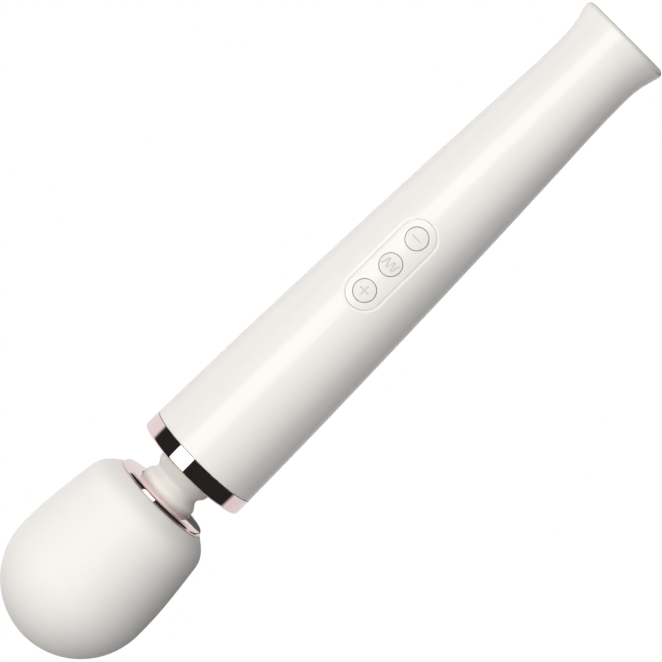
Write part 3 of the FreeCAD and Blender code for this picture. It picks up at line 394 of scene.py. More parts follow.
def shell_angles():
    """Column angles of a half shell about its middle, with two close to each parting edge."""
    half = math.pi / 2
    edge = [-half + step for step in EDGE_COLUMNS]
    middle = [-half + math.pi * i / FRONT_COLUMNS for i in range(2, FRONT_COLUMNS - 1)]
    return edge + middle + [-a for a in reversed(edge)]


def patch_span(angles):
    """First and last column of the patch."""
    middle = len(angles) // 2
    return middle - PATCH_COLUMNS, middle + PATCH_COLUMNS


def skin_patch(bm, angles, heights, radius_at, radii, depth_at):
    """A skin round the panel's opening, to fill the gap left in the lathe; returns the opening's edge."""
    def flat(x, z):
        return (math.asin(x / radius_at(z)) * FLAT_R, z)

    def distance(u, z):
        return stadium_distance(radius_at(z) * math.sin(u / FLAT_R), z)

    across = [a * FLAT_R for a in angles]
    border = [(u, heights[0]) for u in across[:-1]] + [(across[-1], z) for z in heights[:-1]]
    border += [(u, heights[-1]) for u in across[:0:-1]] + [(across[0], z) for z in heights[:0:-1]]
    opening = [flat(x, z) for x, z in stadium_loop(radii[0])]
    rings = [[flat(x, z) for x, z in stadium_loop(r)] for r in radii[1:]]
    fill = staggered(across[0], across[-1], heights[0], heights[-1], PATCH_STEP,
                     lambda u, z: distance(u, z) > radii[-1] + PATCH_STEP / 2)
    points, faces = triangulate([opening] + rings + [border], fill,
                                lambda u, z: distance(u, z) > radii[0] + 1e-3)
    made = []
    for p in points:
        x = radius_at(p.y) * math.sin(p.x / FLAT_R)
        made.append(bm.verts.new(around(radius_at(p.y) - depth_at(x, p.y), p.x / FLAT_R, p.y)))
    for face in faces:
        bm.faces.new([made[i] for i in face])
    return made[:len(opening)]


def bevel_depth(x, z):
    """Depth of the soft-edged bevel round the opening."""
    share = (PANEL_BEVEL_R - stadium_distance(x, z)) / (PANEL_BEVEL_R - PANEL_OPENING_R)
    if share <= 0:
        return 0.0
    ramp = share * share / (2 * BEVEL_SOFT) if share < BEVEL_SOFT else share - BEVEL_SOFT / 2
    return PANEL_BEVEL_DEPTH * ramp / (1 - BEVEL_SOFT / 2)


def casing(name, turn, node, patched):
    """Half of the handle's casing as a closed shell."""
    outside, inside = casing_outside(), casing_inside()
    outline = outside + inside
    angles = [a + turn for a in shell_angles()]
    first, last = patch_span(angles)
    bm = bmesh.new()

    def in_patch(i, j):
        if not patched or not first <= i < last:
            return False
        a, b = outline[j], outline[(j + 1) % len(outline)]
        return PATCH_LOW <= min(a[1], b[1]) and max(a[1], b[1]) <= PATCH_HIGH

    columns = ring_grid(bm, outline, angles, False, skip=in_patch)
    for column in (columns[0], columns[-1]):
        bm.faces.new(column)
    shoulder = PARTING * PARTING_SHOULDER
    for column, depth in ((0, PARTING), (1, shoulder), (-1, PARTING), (-2, shoulder)):
        for vert in columns[column][:len(outside) - SPIGOT_POINTS]:
            share = 1 - depth / math.hypot(vert.co.x, vert.co.y)
            vert.co.x *= share
            vert.co.y *= share
    if patched:
        spanned = angles[first:last + 1]
        bevel = PANEL_BEVEL_R - PANEL_OPENING_R
        rings = [PANEL_OPENING_R] + [PANEL_OPENING_R + bevel * share for share in BEVEL_RINGS]
        upper = skin_patch(bm, spanned, list(range(PATCH_LOW, PATCH_HIGH + 1)), handle_r, rings, bevel_depth)
        lower = skin_patch(bm, spanned, list(range(PATCH_LOW, PATCH_HIGH + 1, 2)), inner_r,
                           [PANEL_OPENING_R, PANEL_OPENING_R + 0.8], lambda x, z: 0.0)
        for i in range(len(upper)):
            k = (i + 1) % len(upper)
            bm.faces.new((upper[i], upper[k], lower[k], lower[i]))
    piece = sharpen(finish_mesh(name, bm, "handle", merge=1e-4), 40)
    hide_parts(node)
    return piece


def lifted(x, z, depth):
    """A point of the casing's surface seen from the buttons' side, sunk by a depth."""
    r = handle_r(z) - depth
    return (x, -math.sqrt(r * r - x * x), z)


HOLE_EDGE = 0.1
INSERT_RINGS = (0, 0.04, 0.12, 0.25, 0.42, 0.65, 1.0, 1.4)       # as shares of its edge's rounding
HOLE_RINGS = (0, 0.02, 0.05, 0.1, 0.25)
INSERT_STEP = 0.7                   # spacing of the loose points in the insert


def panel_insert():
    """Oval insert with the three button holes."""
    rings = [stadium_loop(PANEL_R - PANEL_EDGE * d) for d in INSERT_RINGS]
    holes = [circle_loop(HOLE_R + d, z) for z in BUTTONS.values() for d in HOLE_RINGS]

    def to_holes(x, z):
        return min(math.hypot(x, z - centre) for centre in BUTTONS.values()) - HOLE_R

    top, low = PANEL_Z + BUTTON_PITCH + PANEL_R, PANEL_Z - BUTTON_PITCH - PANEL_R
    fill = staggered(-PANEL_R, PANEL_R, low, top, INSERT_STEP,
                     lambda x, z: stadium_distance(x, z) < PANEL_R - 1.0 and to_holes(x, z) > 0.6)
    points, faces = triangulate(rings + holes, fill,
                                lambda x, z: stadium_distance(x, z) < PANEL_R - 1e-3 and to_holes(x, z) > 0)
    bm = bmesh.new()
    upper, lower = [], []
    for p in points:
        drop = edge_drop(PANEL_R - stadium_distance(p.x, p.y), PANEL_EDGE)
        drop += edge_drop(to_holes(p.x, p.y), HOLE_EDGE)
        upper.append(bm.verts.new(lifted(p.x, p.y, PANEL_DEPTH + drop)))
        lower.append(bm.verts.new(lifted(p.x, p.y, PANEL_DEPTH + PANEL_THICK)))
    close_plate(bm, upper, lower, faces)
    piece = sharpen(finish_mesh("panel_insert", bm, "handle"), 50)
    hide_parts("button_panel")
    return piece


def close_plate(bm, upper, lower, faces):
    """Both sides of a plate, and the walls round its borders."""
    sides = {}
    for face in faces:
        bm.faces.new([upper[i] for i in face])
        bm.faces.new([lower[i] for i in reversed(face)])
        for a, b in zip(face, list(face[1:]) + [face[0]]):
            sides[(a, b)] = True
    for a, b in sides:
        if (b, a) not in sides:
            bm.faces.new((upper[b], upper[a], lower[a], lower[b]))


# ---------------------------------------------------------------- buttons
MARK_REACH = 2.0
WAVE_REACH = 3.3
WAVE_SWING = 1.75
WAVE_STROKES = 5
STROKE_STEPS = 12
MARK_SOFT = 0.1                     # half the width over which a mark's edge fades
FLANGE_R = 5.7
FLANGE_T = 1
FLANGE_GAP = 0.15
BOSS_R = 2.2
BOSS_END = -16.2
KEY_SEGMENTS = 120
KEY_STEP = 0.14                     # spacing of the loose points in a keycap
KEY_RINGS = (0, 0.08, 0.25, 0.5, 0.8, 1.0, 1.5)                 # as shares of its edge's rounding


def mark_lines(name, z):
    """The centre lines of a button's mark, as lists of (across, height) points."""
    across = [(-MARK_REACH, z), (MARK_REACH, z)]
    if name == "minus":
        return [across]
    if name == "plus":
        return [across, [(0, z - MARK_REACH), (0, z + MARK_REACH)]]
    steps = STROKE_STEPS * WAVE_STROKES
    wave = []
    for i in range(steps + 1):
        t = i / steps
        wave.append(((1 - 2 * t) * WAVE_REACH, z + WAVE_SWING * math.cos(math.pi * WAVE_STROKES * t)))
    return [wave]


def line_distance(x, z, lines):
    nearest = 1e9
    for line in lines:
        for (ax, az), (bx, bz) in zip(line, line[1:]):
            dx, dz = bx - ax, bz - az
            t = min(1.0, max(0.0, ((x - ax) * dx + (z - az) * dz) / (dx * dx + dz * dz)))
            nearest = min(nearest, math.hypot(x - ax - t * dx, z - az - t * dz))
    return nearest


def button(name, z):
    """A crowned keycap with its sunk mark, a retaining flange and a boss."""
    lines = mark_lines(name, z)
    rings = [circle_loop(BUTTON_R - BUTTON_EDGE * share, z, KEY_SEGMENTS) for share in KEY_RINGS]
    reach = BUTTON_R - BUTTON_EDGE * KEY_RINGS[-1] - 0.12
    fill = staggered(-BUTTON_R, BUTTON_R, z - BUTTON_R, z + BUTTON_R, KEY_STEP,
                     lambda x, h: math.hypot(x, h - z) < reach)
    points, faces = triangulate(rings, fill, lambda x, h: math.hypot(x, h - z) < BUTTON_R)
    bm = bmesh.new()
    marked = bm.verts.layers.float.new("mark")
    made = []
    for p in points:
        sunk = 1 - smooth(MARK_HALF - MARK_SOFT, MARK_HALF + MARK_SOFT, line_distance(p.x, p.y, lines))
        drop = edge_drop(BUTTON_R - math.hypot(p.x, p.y - z), BUTTON_EDGE)
        vert = bm.verts.new(lifted(p.x, p.y, PANEL_DEPTH - BUTTON_PROUD + drop + sunk * MARK_DEPTH))
        vert[marked] = sunk
        made.append(vert)
    for face in faces:
        bm.faces.new([made[i] for i in face])
    flange = -(math.sqrt(inner_r(z) ** 2 - FLANGE_R ** 2) - FLANGE_GAP)
    ring = made[:KEY_SEGMENTS]
    back = flange + FLANGE_T
    for radius, y in ((BUTTON_R, flange), (FLANGE_R, flange), (FLANGE_R, back), (BOSS_R, back),
                      (BOSS_R, BOSS_END)):
        lower = [bm.verts.new((x, y, h)) for x, h in circle_loop(radius, z, KEY_SEGMENTS)]
        for i in range(KEY_SEGMENTS):
            k = (i + 1) % KEY_SEGMENTS
            bm.faces.new((ring[i], ring[k], lower[k], lower[i]))
        ring = lower
    bm.faces.new(ring)
    piece = sharpen(finish_mesh(name + "_keycap", bm, name + "_key"), 50)
    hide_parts(name + "_button")
    return piece


# ---------------------------------------------------------------- trim, neck and head
TRIM_SEGMENTS = 320
NECK_SEGMENTS = 192
BAND_R = 25.35
BAND_TOP = 243.8
BAND_BORE_R = 23.95
BAND_LIP_R = 22.6
BAND_LIP_Z = 242.3                  # underside of the lip that closes on the front plate
COLLAR_TOP = 260.68
COLLAR_R = 21.35
COLLAR_BORE = 12.8
COLLAR_FACE = 258.3
COLLAR_SEAT = 259.4
FLANGE_SEAT_R = 15.8
COLLAR_WALL = [(260.25, 21.15), (259.8, 21.0), (259.3, 20.75), (258.95, 20.3)]
COLLAR_BEAD_FOOT = 260.45
COLLAR_CONE = ((0.35, 0.07), (1.2, 0.19))   # steps inward and down from the wall's lower edge
BASE_TOP = 272.0
COVER_SEAT = [(262.5, 18.8), (264.1, 20.3), (270.95, 26.55), (BASE_TOP, 26.62)]
SPRING_WIRE = 1.3
SPRING_TURNS = 12
SPRING_STEPS = 32                   # rings of vertices in a turn
WIRE_SIDES = 12


def trim_band():
    round_r = 0.9
    low = SEAM_Z + 0.18
    outline = [(BAND_BORE_R, low)] + round_corner((BAND_R - 0.06, low + 0.06), 0.06, 270, 360, 4)
    outline += round_corner((BAND_R - round_r, BAND_TOP - round_r), round_r, 0, 90, 10)
    outline += round_corner((BAND_LIP_R + 0.25, BAND_TOP - 0.25), 0.25, 90, 180, 4)
    outline += [(BAND_LIP_R, BAND_LIP_Z), (BAND_BORE_R, BAND_LIP_Z)]
    piece = lathe("rose_band", outline, "handle", TRIM_SEGMENTS)
    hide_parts("trim_band")
    return piece


def head_collar():
    """Polished ring: a fine bead at its upper edge, a low wall that rolls under, and a flat cone below."""
    bead = 0.1
    wall = spline(COLLAR_WALL, 8)
    outline = [(FLANGE_SEAT_R, COLLAR_TOP)]
    outline += round_corner((COLLAR_R - bead, COLLAR_TOP - bead), bead, 90, 0, 5)
    outline += round_corner((COLLAR_R - bead, COLLAR_BEAD_FOOT), bead, 0, -60, 5)
    outline += turned(wall)
    edge_z, edge_r = COLLAR_WALL[-1]
    outline += [(edge_r - inward, edge_z - down) for inward, down in COLLAR_CONE]
    outline += round_corner((COLLAR_BORE + 0.2, COLLAR_FACE + 0.2), 0.2, 280, 180, 5)
    outline += [(COLLAR_BORE, COLLAR_SEAT), (FLANGE_SEAT_R, COLLAR_SEAT)]
    piece = lathe("rose_collar", outline, "head", TRIM_SEGMENTS)
    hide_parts("head_collar")
    return piece


def head_cover():
    """Soft dome: one skin outside, one against the capsule, and a rounded foot."""
    foot_z, foot_r = HEAD[0]
    top = DOME_Z + DOME_R
    outer = round_corner((0, DOME_Z), DOME_R, 90, 0, 72)
    outer += turned(reversed(spline(HEAD, 10)))[1:-2]
    outer += round_corner((foot_r - 0.25, foot_z + 0.25), 0.25, -20, -90, 4)
    inner_dome = DOME_R - COVER_T
    inner = [(COVER_SEAT[0][1], foot_z)] + turned(COVER_SEAT)
    inner += [(r - COVER_T, z) for r, z in turned(spline(HEAD, 4)) if BASE_TOP + 1 < z < DOME_Z - 1]
    inner += round_corner((0, DOME_Z), inner_dome, 0, 90, 36)
    outer[0], inner[-1] = (0, top), (0, DOME_Z + inner_dome)
    piece = dome("soft_head", outer + inner, "head", TRIM_SEGMENTS)
    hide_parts("head_cover")
    return piece


def neck_half(name, upper):
    """Half of the soft neck, from the waist to its flange."""
    skin = spline(NECK, 14)
    if upper:
        skin = [p for p in skin if p[0] >= WAIST_Z - 1e-6]
        flange = [(NECK_FLANGE_R, NECK[-1][0]), (NECK_FLANGE_R, NECK_HIGH)]
        bore = np.linspace(NECK_HIGH, WAIST_Z, 20)
        outline = turned(skin) + flange
    else:
        skin = [p for p in skin if p[0] <= WAIST_Z + 1e-6]
        flange = [(NECK_FLANGE_R, NECK[0][0]), (NECK_FLANGE_R, NECK_LOW)]
        bore = np.linspace(NECK_LOW, WAIST_Z, 24)
        outline = turned(reversed(skin)) + flange
    outline += [(NECK_BORE, float(z)) for z in bore]
    return lathe(name, outline, None, NECK_SEGMENTS)


def spring_half(name, low, high):
    """The part of the drive spring between two heights, as one round wire."""
    bottom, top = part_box("drive_spring")
    wire, turns = SPRING_WIRE, SPRING_TURNS
    mean_r = top.x / MM - wire / 2
    z0, z1 = bottom.z / MM + wire / 2, top.z / MM - wire / 2
    steps = [i / (turns * SPRING_STEPS) for i in range(turns * SPRING_STEPS + 1)]
    steps = [t for t in steps if low <= z0 + (z1 - z0) * t <= high]
    bm = bmesh.new()
    rings = []
    for t in steps:
        angle = 2 * math.pi * turns * t
        out = Vector((math.cos(angle), math.sin(angle), 0))
        rise = (z1 - z0) / (2 * math.pi * turns * mean_r)
        along = Vector((-math.sin(angle), math.cos(angle), rise)).normalized()
        up = along.cross(out)
        centre = out * mean_r + Vector((0, 0, z0 + (z1 - z0) * t))
        rings.append([bm.verts.new(centre + (out * math.cos(a) + up * math.sin(a)) * wire / 2)
                      for a in (2 * math.pi * k / WIRE_SIDES for k in range(WIRE_SIDES))])
    for a, b in zip(rings, rings[1:]):
        for k in range(WIRE_SIDES):
            after = (k + 1) % WIRE_SIDES
            bm.faces.new((a[k], a[after], b[after], b[k]))
    bm.faces.new(rings[0])
    bm.faces.new(rings[-1])
    return sharpen(finish_mesh(name, bm), 60)


def neck_and_spring():
    """Each soft piece is split at the waist into a lower and an upper half."""
    made = []
    for node, lower, upper in (
            ("neck_sleeve", neck_half("neck_lower", False), neck_half("neck_upper", True)),
            ("drive_spring", spring_half("spring_lower", 0, WAIST_Z),
             spring_half("spring_upper", WAIST_Z, DOME_Z))):
        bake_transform(lower)
        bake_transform(upper)
        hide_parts(node)
        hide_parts(node)
        made += [lower, upper]
    return made


# ---------------------------------------------------------------- materials
def srgb(*values):
    """Linear colour of sRGB values from 0 to 255."""
    made = []
    for v in values:
        v /= 255
        made.append(v / 12.92 if v <= 0.04045 else ((v + 0.055) / 1.055) ** 2.4)
    return tuple(made) + (1.0,)


class Shader:
    """A Principled material whose colour, roughness and bump come from noise in object space."""

    def __init__(self, name):
        self.material = bpy.data.materials.new(name)
        self.material.use_nodes = True
        self.nodes = self.material.node_tree.nodes
        self.links = self.material.node_tree.links
        self.surface = self.nodes["Principled BSDF"]
        self.place = self.nodes.new("ShaderNodeTexCoord").outputs["Object"]

    def noise(self, size_mm, detail=3.0, stretch=(1, 1, 1)):
        """Noise whose features are about size_mm across."""
        mapping = self.nodes.new("ShaderNodeMapping")
        mapping.inputs["Scale"].default_value = [s / (size_mm * MM) for s in stretch]
        texture = self.nodes.new("ShaderNodeTexNoise")
        texture.inputs["Scale"].default_value = 1.0
        texture.inputs["Detail"].default_value = detail
        self.links.new(self.place, mapping.inputs["Vector"])
        self.links.new(mapping.outputs["Vector"], texture.inputs["Vector"])
        return texture.outputs["Fac"]

    def blend_colours(self, mask, low, high):
        ramp = self.nodes.new("ShaderNodeMix")
        ramp.data_type = "RGBA"
        for socket, value in (("A", low), ("B", high)):
            ramp_input = [i for i in ramp.inputs if i.name == socket and i.type == "RGBA"][0]
            if isinstance(value, tuple):
                ramp_input.default_value = value
            else:
                self.links.new(value, ramp_input)
        self.links.new(mask, ramp.inputs["Factor"])
        return [o for o in ramp.outputs if o.type == "RGBA"][0]

    def spread(self, value, low, high):
        """A value from 0 to 1 mapped to a narrower range."""
        node = self.nodes.new("ShaderNodeMapRange")
        node.inputs["From Min"].default_value = 0.3
        node.inputs["From Max"].default_value = 0.7
        node.inputs["To Min"].default_value = low
        node.inputs["To Max"].default_value = high
        self.links.new(value, node.inputs["Value"])
        return node.outputs["Result"]

    def bump(self, height, depth_mm, under=None):
        node = self.nodes.new("ShaderNodeBump")
        node.inputs["Strength"].default_value = 1.0
        node.inputs["Distance"].default_value = depth_mm * MM
        self.links.new(height, node.inputs["Height"])
        if under:
            self.links.new(under, node.inputs["Normal"])
        return node.outputs["Normal"]

    def set(self, **values):
        """Sets sockets of the shader by name, from a constant or from another node's output."""
        names = {"colour": "Base Color", "rough": "Roughness", "metal": "Metallic", "normal": "Normal",
                 "coat": "Coat Weight", "coat_rough": "Coat Roughness", "coat_normal": "Coat Normal",
                 "specular": "Specular IOR Level", "sheen": "Sheen Weight", "sheen_rough": "Sheen Roughness",
                 "soft": "Subsurface Weight", "soft_scale": "Subsurface Scale", "ior": "IOR",
                 "alpha": "Alpha"}
        for name, value in values.items():
            socket = self.surface.inputs[names[name]]
            if isinstance(value, (int, float, tuple)):
                socket.default_value = value
            else:
                self.links.new(value, socket)
        return self.material


def pearl_plastic(name, light, dark, rough=0.30, coat=0.78):
    """Pearl-white moulding: fine mica flecks under a clear glossy skin."""
    shader = Shader(name)
    flecks = shader.noise(0.09, 2.0)
    clouds = shader.noise(26.0, 2.0, (1, 1, 0.4))
    tone = shader.blend_colours(clouds, light, dark)
    glint = shader.spread(flecks, rough - 0.05, rough + 0.06)
    wave = shader.bump(shader.noise(7.0, 1.0), 0.004)
    return shader.set(colour=tone, rough=glint, normal=shader.bump(flecks, 0.0008, wave), coat=coat,
                      coat_rough=0.1, specular=0.12)


def soft_silicone(name, light, dark, rough=0.62):
    """Matte silicone with a fine moulded grain."""
    shader = Shader(name)
    tone = shader.blend_colours(shader.noise(30.0, 2.0), light, dark)
    grain = shader.noise(0.22, 2.0)
    normal = shader.bump(grain, 0.004, shader.bump(shader.noise(11.0, 1.0), 0.01))
    return shader.set(colour=tone, rough=shader.spread(grain, rough - 0.05, rough + 0.05), normal=normal,
                      soft=0.08, soft_scale=0.002, sheen=0.02, sheen_rough=0.4, specular=0.26)


def polished_metal(name, light, dark, rough=0.02):
    """Plated and polished metal with the faint haze of polishing."""
    shader = Shader(name)
    haze = shader.noise(5.0, 3.0)
    lines = shader.noise(0.3, 2.0, (1, 1, 6))
    return shader.set(colour=shader.blend_colours(haze, light, dark), metal=1.0,
                      rough=shader.spread(haze, rough * 0.8, rough * 1.3),
                      normal=shader.bump(lines, 0.0002))


def turned_metal(name, light, dark, rough=0.3, stretch=(1, 1, 8)):
    """Machined, drawn or plated metal with tool marks."""
    shader = Shader(name)
    marks = shader.noise(0.5, 4.0, stretch)
    stains = shader.noise(6.0, 3.0)
    return shader.set(colour=shader.blend_colours(stains, light, dark), metal=1.0,
                      rough=shader.spread(marks, rough - 0.08, rough + 0.1), normal=shader.bump(marks, 0.004))


def moulded(name, light, dark, rough=0.5, grain_mm=0.5, depth_mm=0.01):
    """Moulded plastic or rubber with a spark-eroded grain."""
    shader = Shader(name)
    grain = shader.noise(grain_mm, 3.0)
    tone = shader.blend_colours(shader.noise(9.0, 2.0), light, dark)
    return shader.set(colour=tone, rough=shader.spread(grain, rough - 0.06, rough + 0.06),
                      normal=shader.bump(grain, depth_mm))


def marked_key(name, light, dark, ink):
    """The keycaps' satin plastic, greyer in the sunk mark."""
    shader = Shader(name)
    mark = shader.nodes.new("ShaderNodeAttribute")
    mark.attribute_name = "mark"
    grain = shader.noise(0.25, 2.0)
    tone = shader.blend_colours(shader.noise(4.0, 2.0), light, dark)
    tone = shader.blend_colours(mark.outputs["Fac"], tone, ink)
    return shader.set(colour=tone, rough=shader.spread(grain, 0.40, 0.50), normal=shader.bump(grain, 0.002),
                      specular=0.4)


def circuit_board(name):
    """Solder mask with copper tracks showing through."""
    shader = Shader(name)
    tracks = shader.nodes.new("ShaderNodeTexBrick")
    tracks.inputs["Scale"].default_value = 320.0
    tracks.inputs["Mortar Size"].default_value = 0.03
    tracks.inputs["Color1"].default_value = srgb(18, 92, 54)
    tracks.inputs["Color2"].default_value = srgb(14, 80, 48)
    tracks.inputs["Mortar"].default_value = srgb(58, 138, 74)
    turned_place = shader.nodes.new("ShaderNodeMapping")
    turned_place.inputs["Rotation"].default_value = (math.pi / 2, 0, 0)
    shader.links.new(shader.place, turned_place.inputs["Vector"])
    shader.links.new(turned_place.outputs["Vector"], tracks.inputs["Vector"])
    return shader.set(colour=tracks.outputs["Color"], rough=shader.spread(shader.noise(2.0), 0.3, 0.42),
                      normal=shader.bump(tracks.outputs["Fac"], 0.03))


def make_materials():
    """One material for each slot of the record."""
    steel = (srgb(196, 196, 198), srgb(170, 171, 175))
    made = {
        "casing_white": pearl_plastic("pearl_casing", srgb(243, 239, 235), srgb(240, 236, 232)),
        "plate_white": pearl_plastic("pearl_plate", srgb(236, 232, 227), srgb(231, 227, 222), 0.34, 0.3),
        "button_white": marked_key("satin_keys", srgb(233, 230, 225), srgb(230, 227, 222),
                                   srgb(205, 202, 197)),
        "soft_white": soft_silicone("silicone_head", srgb(243, 240, 236), srgb(240, 237, 232)),
        "neck_white": soft_silicone("silicone_neck", srgb(236, 231, 226), srgb(232, 227, 221), 0.56),
        "rose_gold": polished_metal("rose_gold_plating", srgb(252, 230, 229), srgb(249, 225, 225)),
        "inner_plastic": moulded("inner_mouldings", srgb(214, 211, 205), srgb(205, 202, 196)),
        "black_plastic": moulded("black_mouldings", srgb(44, 44, 47), srgb(34, 34, 37), 0.46, 0.35),
        "connector_plastic": moulded("connector_housings", srgb(228, 222, 204), srgb(218, 212, 192), 0.4),
        "screw_steel": turned_metal("screw_zinc", srgb(206, 207, 210), srgb(184, 186, 190), 0.28),
        "shaft_steel": turned_metal("ground_steel", *steel, 0.18, (1, 1, 5)),
        "spring_steel": turned_metal("drawn_steel", srgb(176, 178, 182), srgb(152, 154, 158), 0.3, (4, 4, 1)),
        "steel_can": turned_metal("plated_can", srgb(190, 192, 194), srgb(168, 170, 173), 0.34, (1, 1, 4)),
        "armature_steel": turned_metal("laminations", srgb(122, 116, 110), srgb(96, 90, 86), 0.5, (1, 1, 12)),
        "magnet_dark": moulded("sintered_magnet", srgb(66, 66, 68), srgb(50, 50, 52), 0.6, 0.4, 0.02),
        "nickel": turned_metal("nickel_strip", srgb(206, 203, 192), srgb(186, 183, 172), 0.26),
        "bronze": turned_metal("sintered_bronze", srgb(176, 140, 96), srgb(150, 116, 78), 0.42),
        "copper": turned_metal("machined_copper", srgb(206, 138, 104), srgb(180, 112, 82), 0.28),
        "brass": turned_metal("machined_brass", srgb(210, 184, 120), srgb(190, 162, 98), 0.26),
        "black_rubber": moulded("black_rubber", srgb(40, 40, 40), srgb(30, 30, 30), 0.7, 0.6, 0.02),
        "lead_red": moulded("lead_insulation", srgb(176, 40, 36), srgb(158, 30, 28), 0.45, 0.8, 0.006),
        "board_green": circuit_board("solder_mask"),
        "cell_wrap": moulded("cell_sleeve", srgb(42, 96, 158), srgb(34, 84, 144), 0.3, 1.2, 0.006),
    }
    return made


def dress(piece, material):
    """Gives a piece one material in place of what it has."""
    piece.data.materials.clear()
    piece.data.materials.append(material)


# ---------------------------------------------------------------- stage and light
FLOOR_GLOW = 1.0
FLOOR_Z = -0.05
FLOOR_RINGS = (60, 120, 300, 800, 2500, 9000)
FLOOR_SEGMENTS = 96
KEY_ANGLE = 25.8            # how far the strip light stands round from the camera, towards +X, in degrees
KEY_WIDTH = 36.0            # how many degrees of the circle round the wand it fills
KEY_DISTANCE = 1.1
KEY_HEIGHT = 2.0
KEY_RADIANCE = 1.5
STUDIO_DARK = 0.024
STUDIO_WHITE = 1.0
FLAG = 0.11                 # what a dark flag low behind the wand, on its left, leaves of the white paper
# soft boxes that light the matte surfaces: azimuth, elevation and half angle in degrees, and the light that
# falls on a surface facing the box
SOFT_BOXES = {"front_box": (12.0, -6.0, 37.0, 0.885), "side_box": (129.0, 0.0, 35.0, 0.56),
              "back_box": (-140.0, 0.0, 35.0, 0.07), "rear_box": (178.0, 0.0, 25.0, 0.36),
              "top_box": (60.0, 78.0, 30.0, 0.17)}
# the world is described by the cosines of directions with three axes: towards the camera, to the wand's right
# as the camera sees it, and up
PAPER_EDGE = (-0.24, -0.05)         # the paper is full behind the first and gone past the second
PAPER_SIDE = (-0.9, 0.6, 0.9, 1.0)  # from the left to the right, and its brightness at the two
FLAG_SIDE = (0.02, -0.02)
FLAG_TOP = (-0.04, -0.08)
FLAG_FOOT = (-0.24, -0.2)


def make_floor():
    """A wide pale floor, brighter than it is shaded, so that it runs into the background."""
    bm = bmesh.new()
    previous = None
    centre = bm.verts.new((0, 0, FLOOR_Z))
    for radius in FLOOR_RINGS:
        ring = [bm.verts.new((x, y, FLOOR_Z)) for x, y in circle_loop(radius, 0.0, FLOOR_SEGMENTS)]
        for i in range(FLOOR_SEGMENTS):
            k = (i + 1) % FLOOR_SEGMENTS
            if previous:
                bm.faces.new((previous[i], ring[i], ring[k], previous[k]))
            else:
                bm.faces.new((centre, ring[i], ring[k]))
        previous = ring
    floor = finish_mesh("floor", bm)
    shader = Shader("pale_floor")
    grain = shader.noise(40.0, 2.0)
    shader.set(colour=shader.blend_colours(grain, srgb(246, 246, 246), srgb(243, 243, 243)), rough=0.8,
               specular=0.1)
    shader.surface.inputs["Emission Color"].default_value = (1, 1, 1, 1)
    shader.surface.inputs["Emission Strength"].default_value = FLOOR_GLOW
    dress(floor, shader.material)
    for ray in ("diffuse", "glossy", "transmission", "shadow"):
        setattr(floor, "visible_" + ray, False)


def make_world(towards, side):
    """White paper behind the wand and a dark room in front of it, as the polished parts show it."""
    world = bpy.data.worlds.new("studio")
    world.use_nodes = True
    bpy.context.scene.world = world
    nodes, links = world.node_tree.nodes, world.node_tree.links
    nodes.clear()
    output = nodes.new("ShaderNodeOutputWorld")
    mix = nodes.new("ShaderNodeMixShader")
    seen, lit = nodes.new("ShaderNodeBackground"), nodes.new("ShaderNodeBackground")
    seen.inputs["Color"].default_value = (1, 1, 1, 1)
    rays = nodes.new("ShaderNodeLightPath")
    coordinates = nodes.new("ShaderNodeTexCoord").outputs["Generated"]

    def along(direction):
        node = nodes.new("ShaderNodeVectorMath")
        node.operation = "DOT_PRODUCT"
        node.inputs[1].default_value = direction
        links.new(coordinates, node.inputs[0])
        return node.outputs["Value"]

    def ramp(value, low, high, to_low, to_high):
        node = nodes.new("ShaderNodeMapRange")
        node.interpolation_type = "SMOOTHSTEP"
        for name, v in (("From Min", low), ("From Max", high), ("To Min", to_low), ("To Max", to_high)):
            node.inputs[name].default_value = v
        links.new(value, node.inputs["Value"])
        return node.outputs["Result"]

    def times(a, b):
        node = nodes.new("ShaderNodeMath")
        node.operation = "MULTIPLY"
        links.new(a, node.inputs[0])
        links.new(b, node.inputs[1])
        return node.outputs["Value"]

    behind = ramp(along(towards), *PAPER_EDGE, STUDIO_WHITE, 0.0)
    bright_side = ramp(along(side), *PAPER_SIDE)
    level = along((0, 0, 1))
    flag = times(ramp(along(side), *FLAG_SIDE, 0.0, 1.0), ramp(level, *FLAG_TOP, 0.0, 1.0))
    flag = times(flag, ramp(level, *FLAG_FOOT, 0.0, 1.0))
    paper = times(times(behind, bright_side), ramp(flag, 0.0, 1.0, 1.0, FLAG))
    add = nodes.new("ShaderNodeMath")
    add.inputs[1].default_value = STUDIO_DARK
    links.new(paper, add.inputs[0])
    links.new(add.outputs["Value"], lit.inputs["Strength"])
    links.new(rays.outputs["Is Camera Ray"], mix.inputs["Fac"])
    links.new(lit.outputs["Background"], mix.inputs[1])
    links.new(seen.outputs["Background"], mix.inputs[2])
    links.new(mix.outputs["Shader"], output.inputs["Surface"])
    world.cycles_visibility.diffuse = False


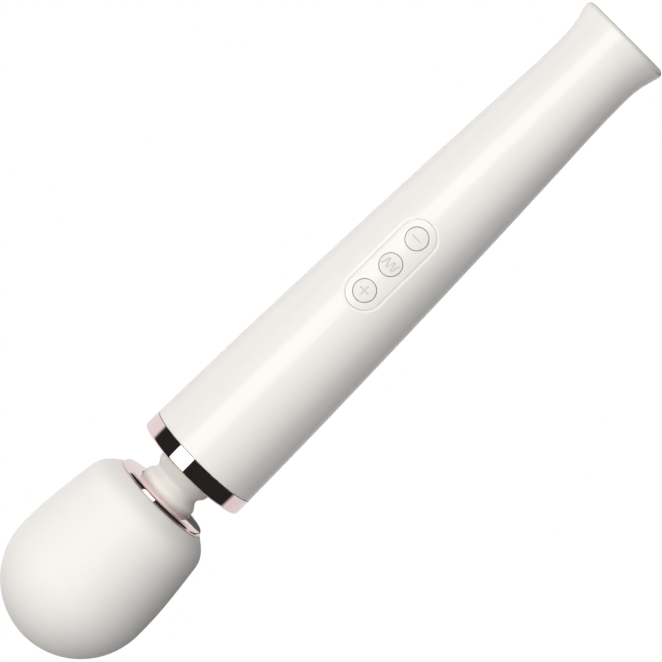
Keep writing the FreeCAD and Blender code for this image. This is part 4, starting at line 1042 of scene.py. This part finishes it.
def area_light(name, direction, distance, width, height, radiance):
    """A rectangular light that faces the middle of the wand."""
    data = bpy.data.lights.new(name, "AREA")
    data.shape = "RECTANGLE"
    data.size, data.size_y = width, height
    data.energy = 4 * radiance * width * height
    light = bpy.data.objects.new(name, data)
    light.location = Vector((0, 0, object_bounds()[1].z / 2)) + direction * distance
    light.rotation_mode = "QUATERNION"
    light.rotation_quaternion = direction.to_track_quat("Z", "Y")
    light.visible_camera = False
    bpy.context.scene.collection.objects.link(light)
    return light


def make_lights(towards, side):
    """One strip that only the polished parts mirror, and the soft boxes that light only the matte ones."""
    angle = math.radians(KEY_ANGLE)
    key = towards * math.cos(angle) + side * math.sin(angle)
    width = 2 * KEY_DISTANCE * math.tan(math.radians(KEY_WIDTH / 2))
    strip = area_light("key_strip", key, KEY_DISTANCE, width, KEY_HEIGHT, KEY_RADIANCE)
    strip.visible_diffuse = False
    for name, (azimuth, elevation, half, amount) in SOFT_BOXES.items():
        azimuth, elevation, half = (math.radians(v) for v in (azimuth, elevation, half))
        flat = towards * math.cos(azimuth) + side * math.sin(azimuth)
        direction = flat * math.cos(elevation) + Vector((0, 0, math.sin(elevation)))
        solid_angle = 4 * math.asin(math.sin(half) ** 2)
        size = 2 * KEY_DISTANCE * math.tan(half)
        box = area_light(name, direction, KEY_DISTANCE, size, size, amount * math.pi / solid_angle)
        box.visible_glossy = False


# ---------------------------------------------------------------- assembly
def main():
    scene = bpy.context.scene
    scene.view_settings.view_transform = "Standard"
    towards, side = make_camera()
    make_world(towards, side)
    make_lights(towards, side)
    make_floor()

    materials = make_materials()
    slots = {s["node"]: s["material_slot"] for s in frame["record"]["subparts"]}
    for node, piece in frame["nodes"].items():
        dress(piece, materials[slots[node]])

    made = [
        (casing("front_casing", 0.0, "front_shell", True), "casing_white"),
        (casing("rear_casing", math.pi, "rear_shell", False), "casing_white"),
        (panel_insert(), "casing_white"),
        (trim_band(), "rose_gold"),
        (head_collar(), "rose_gold"),
        (head_cover(), "soft_white"),
    ]
    made += [(button(name, z), "button_white") for name, z in BUTTONS.items()]
    neck_low, neck_high, spring_low, spring_high = neck_and_spring()
    made += [(neck_low, "neck_white"), (neck_high, "neck_white")]
    made += [(spring_low, "spring_steel"), (spring_high, "spring_steel")]
    for piece, slot in made:
        dress(piece, materials[slot])


main()
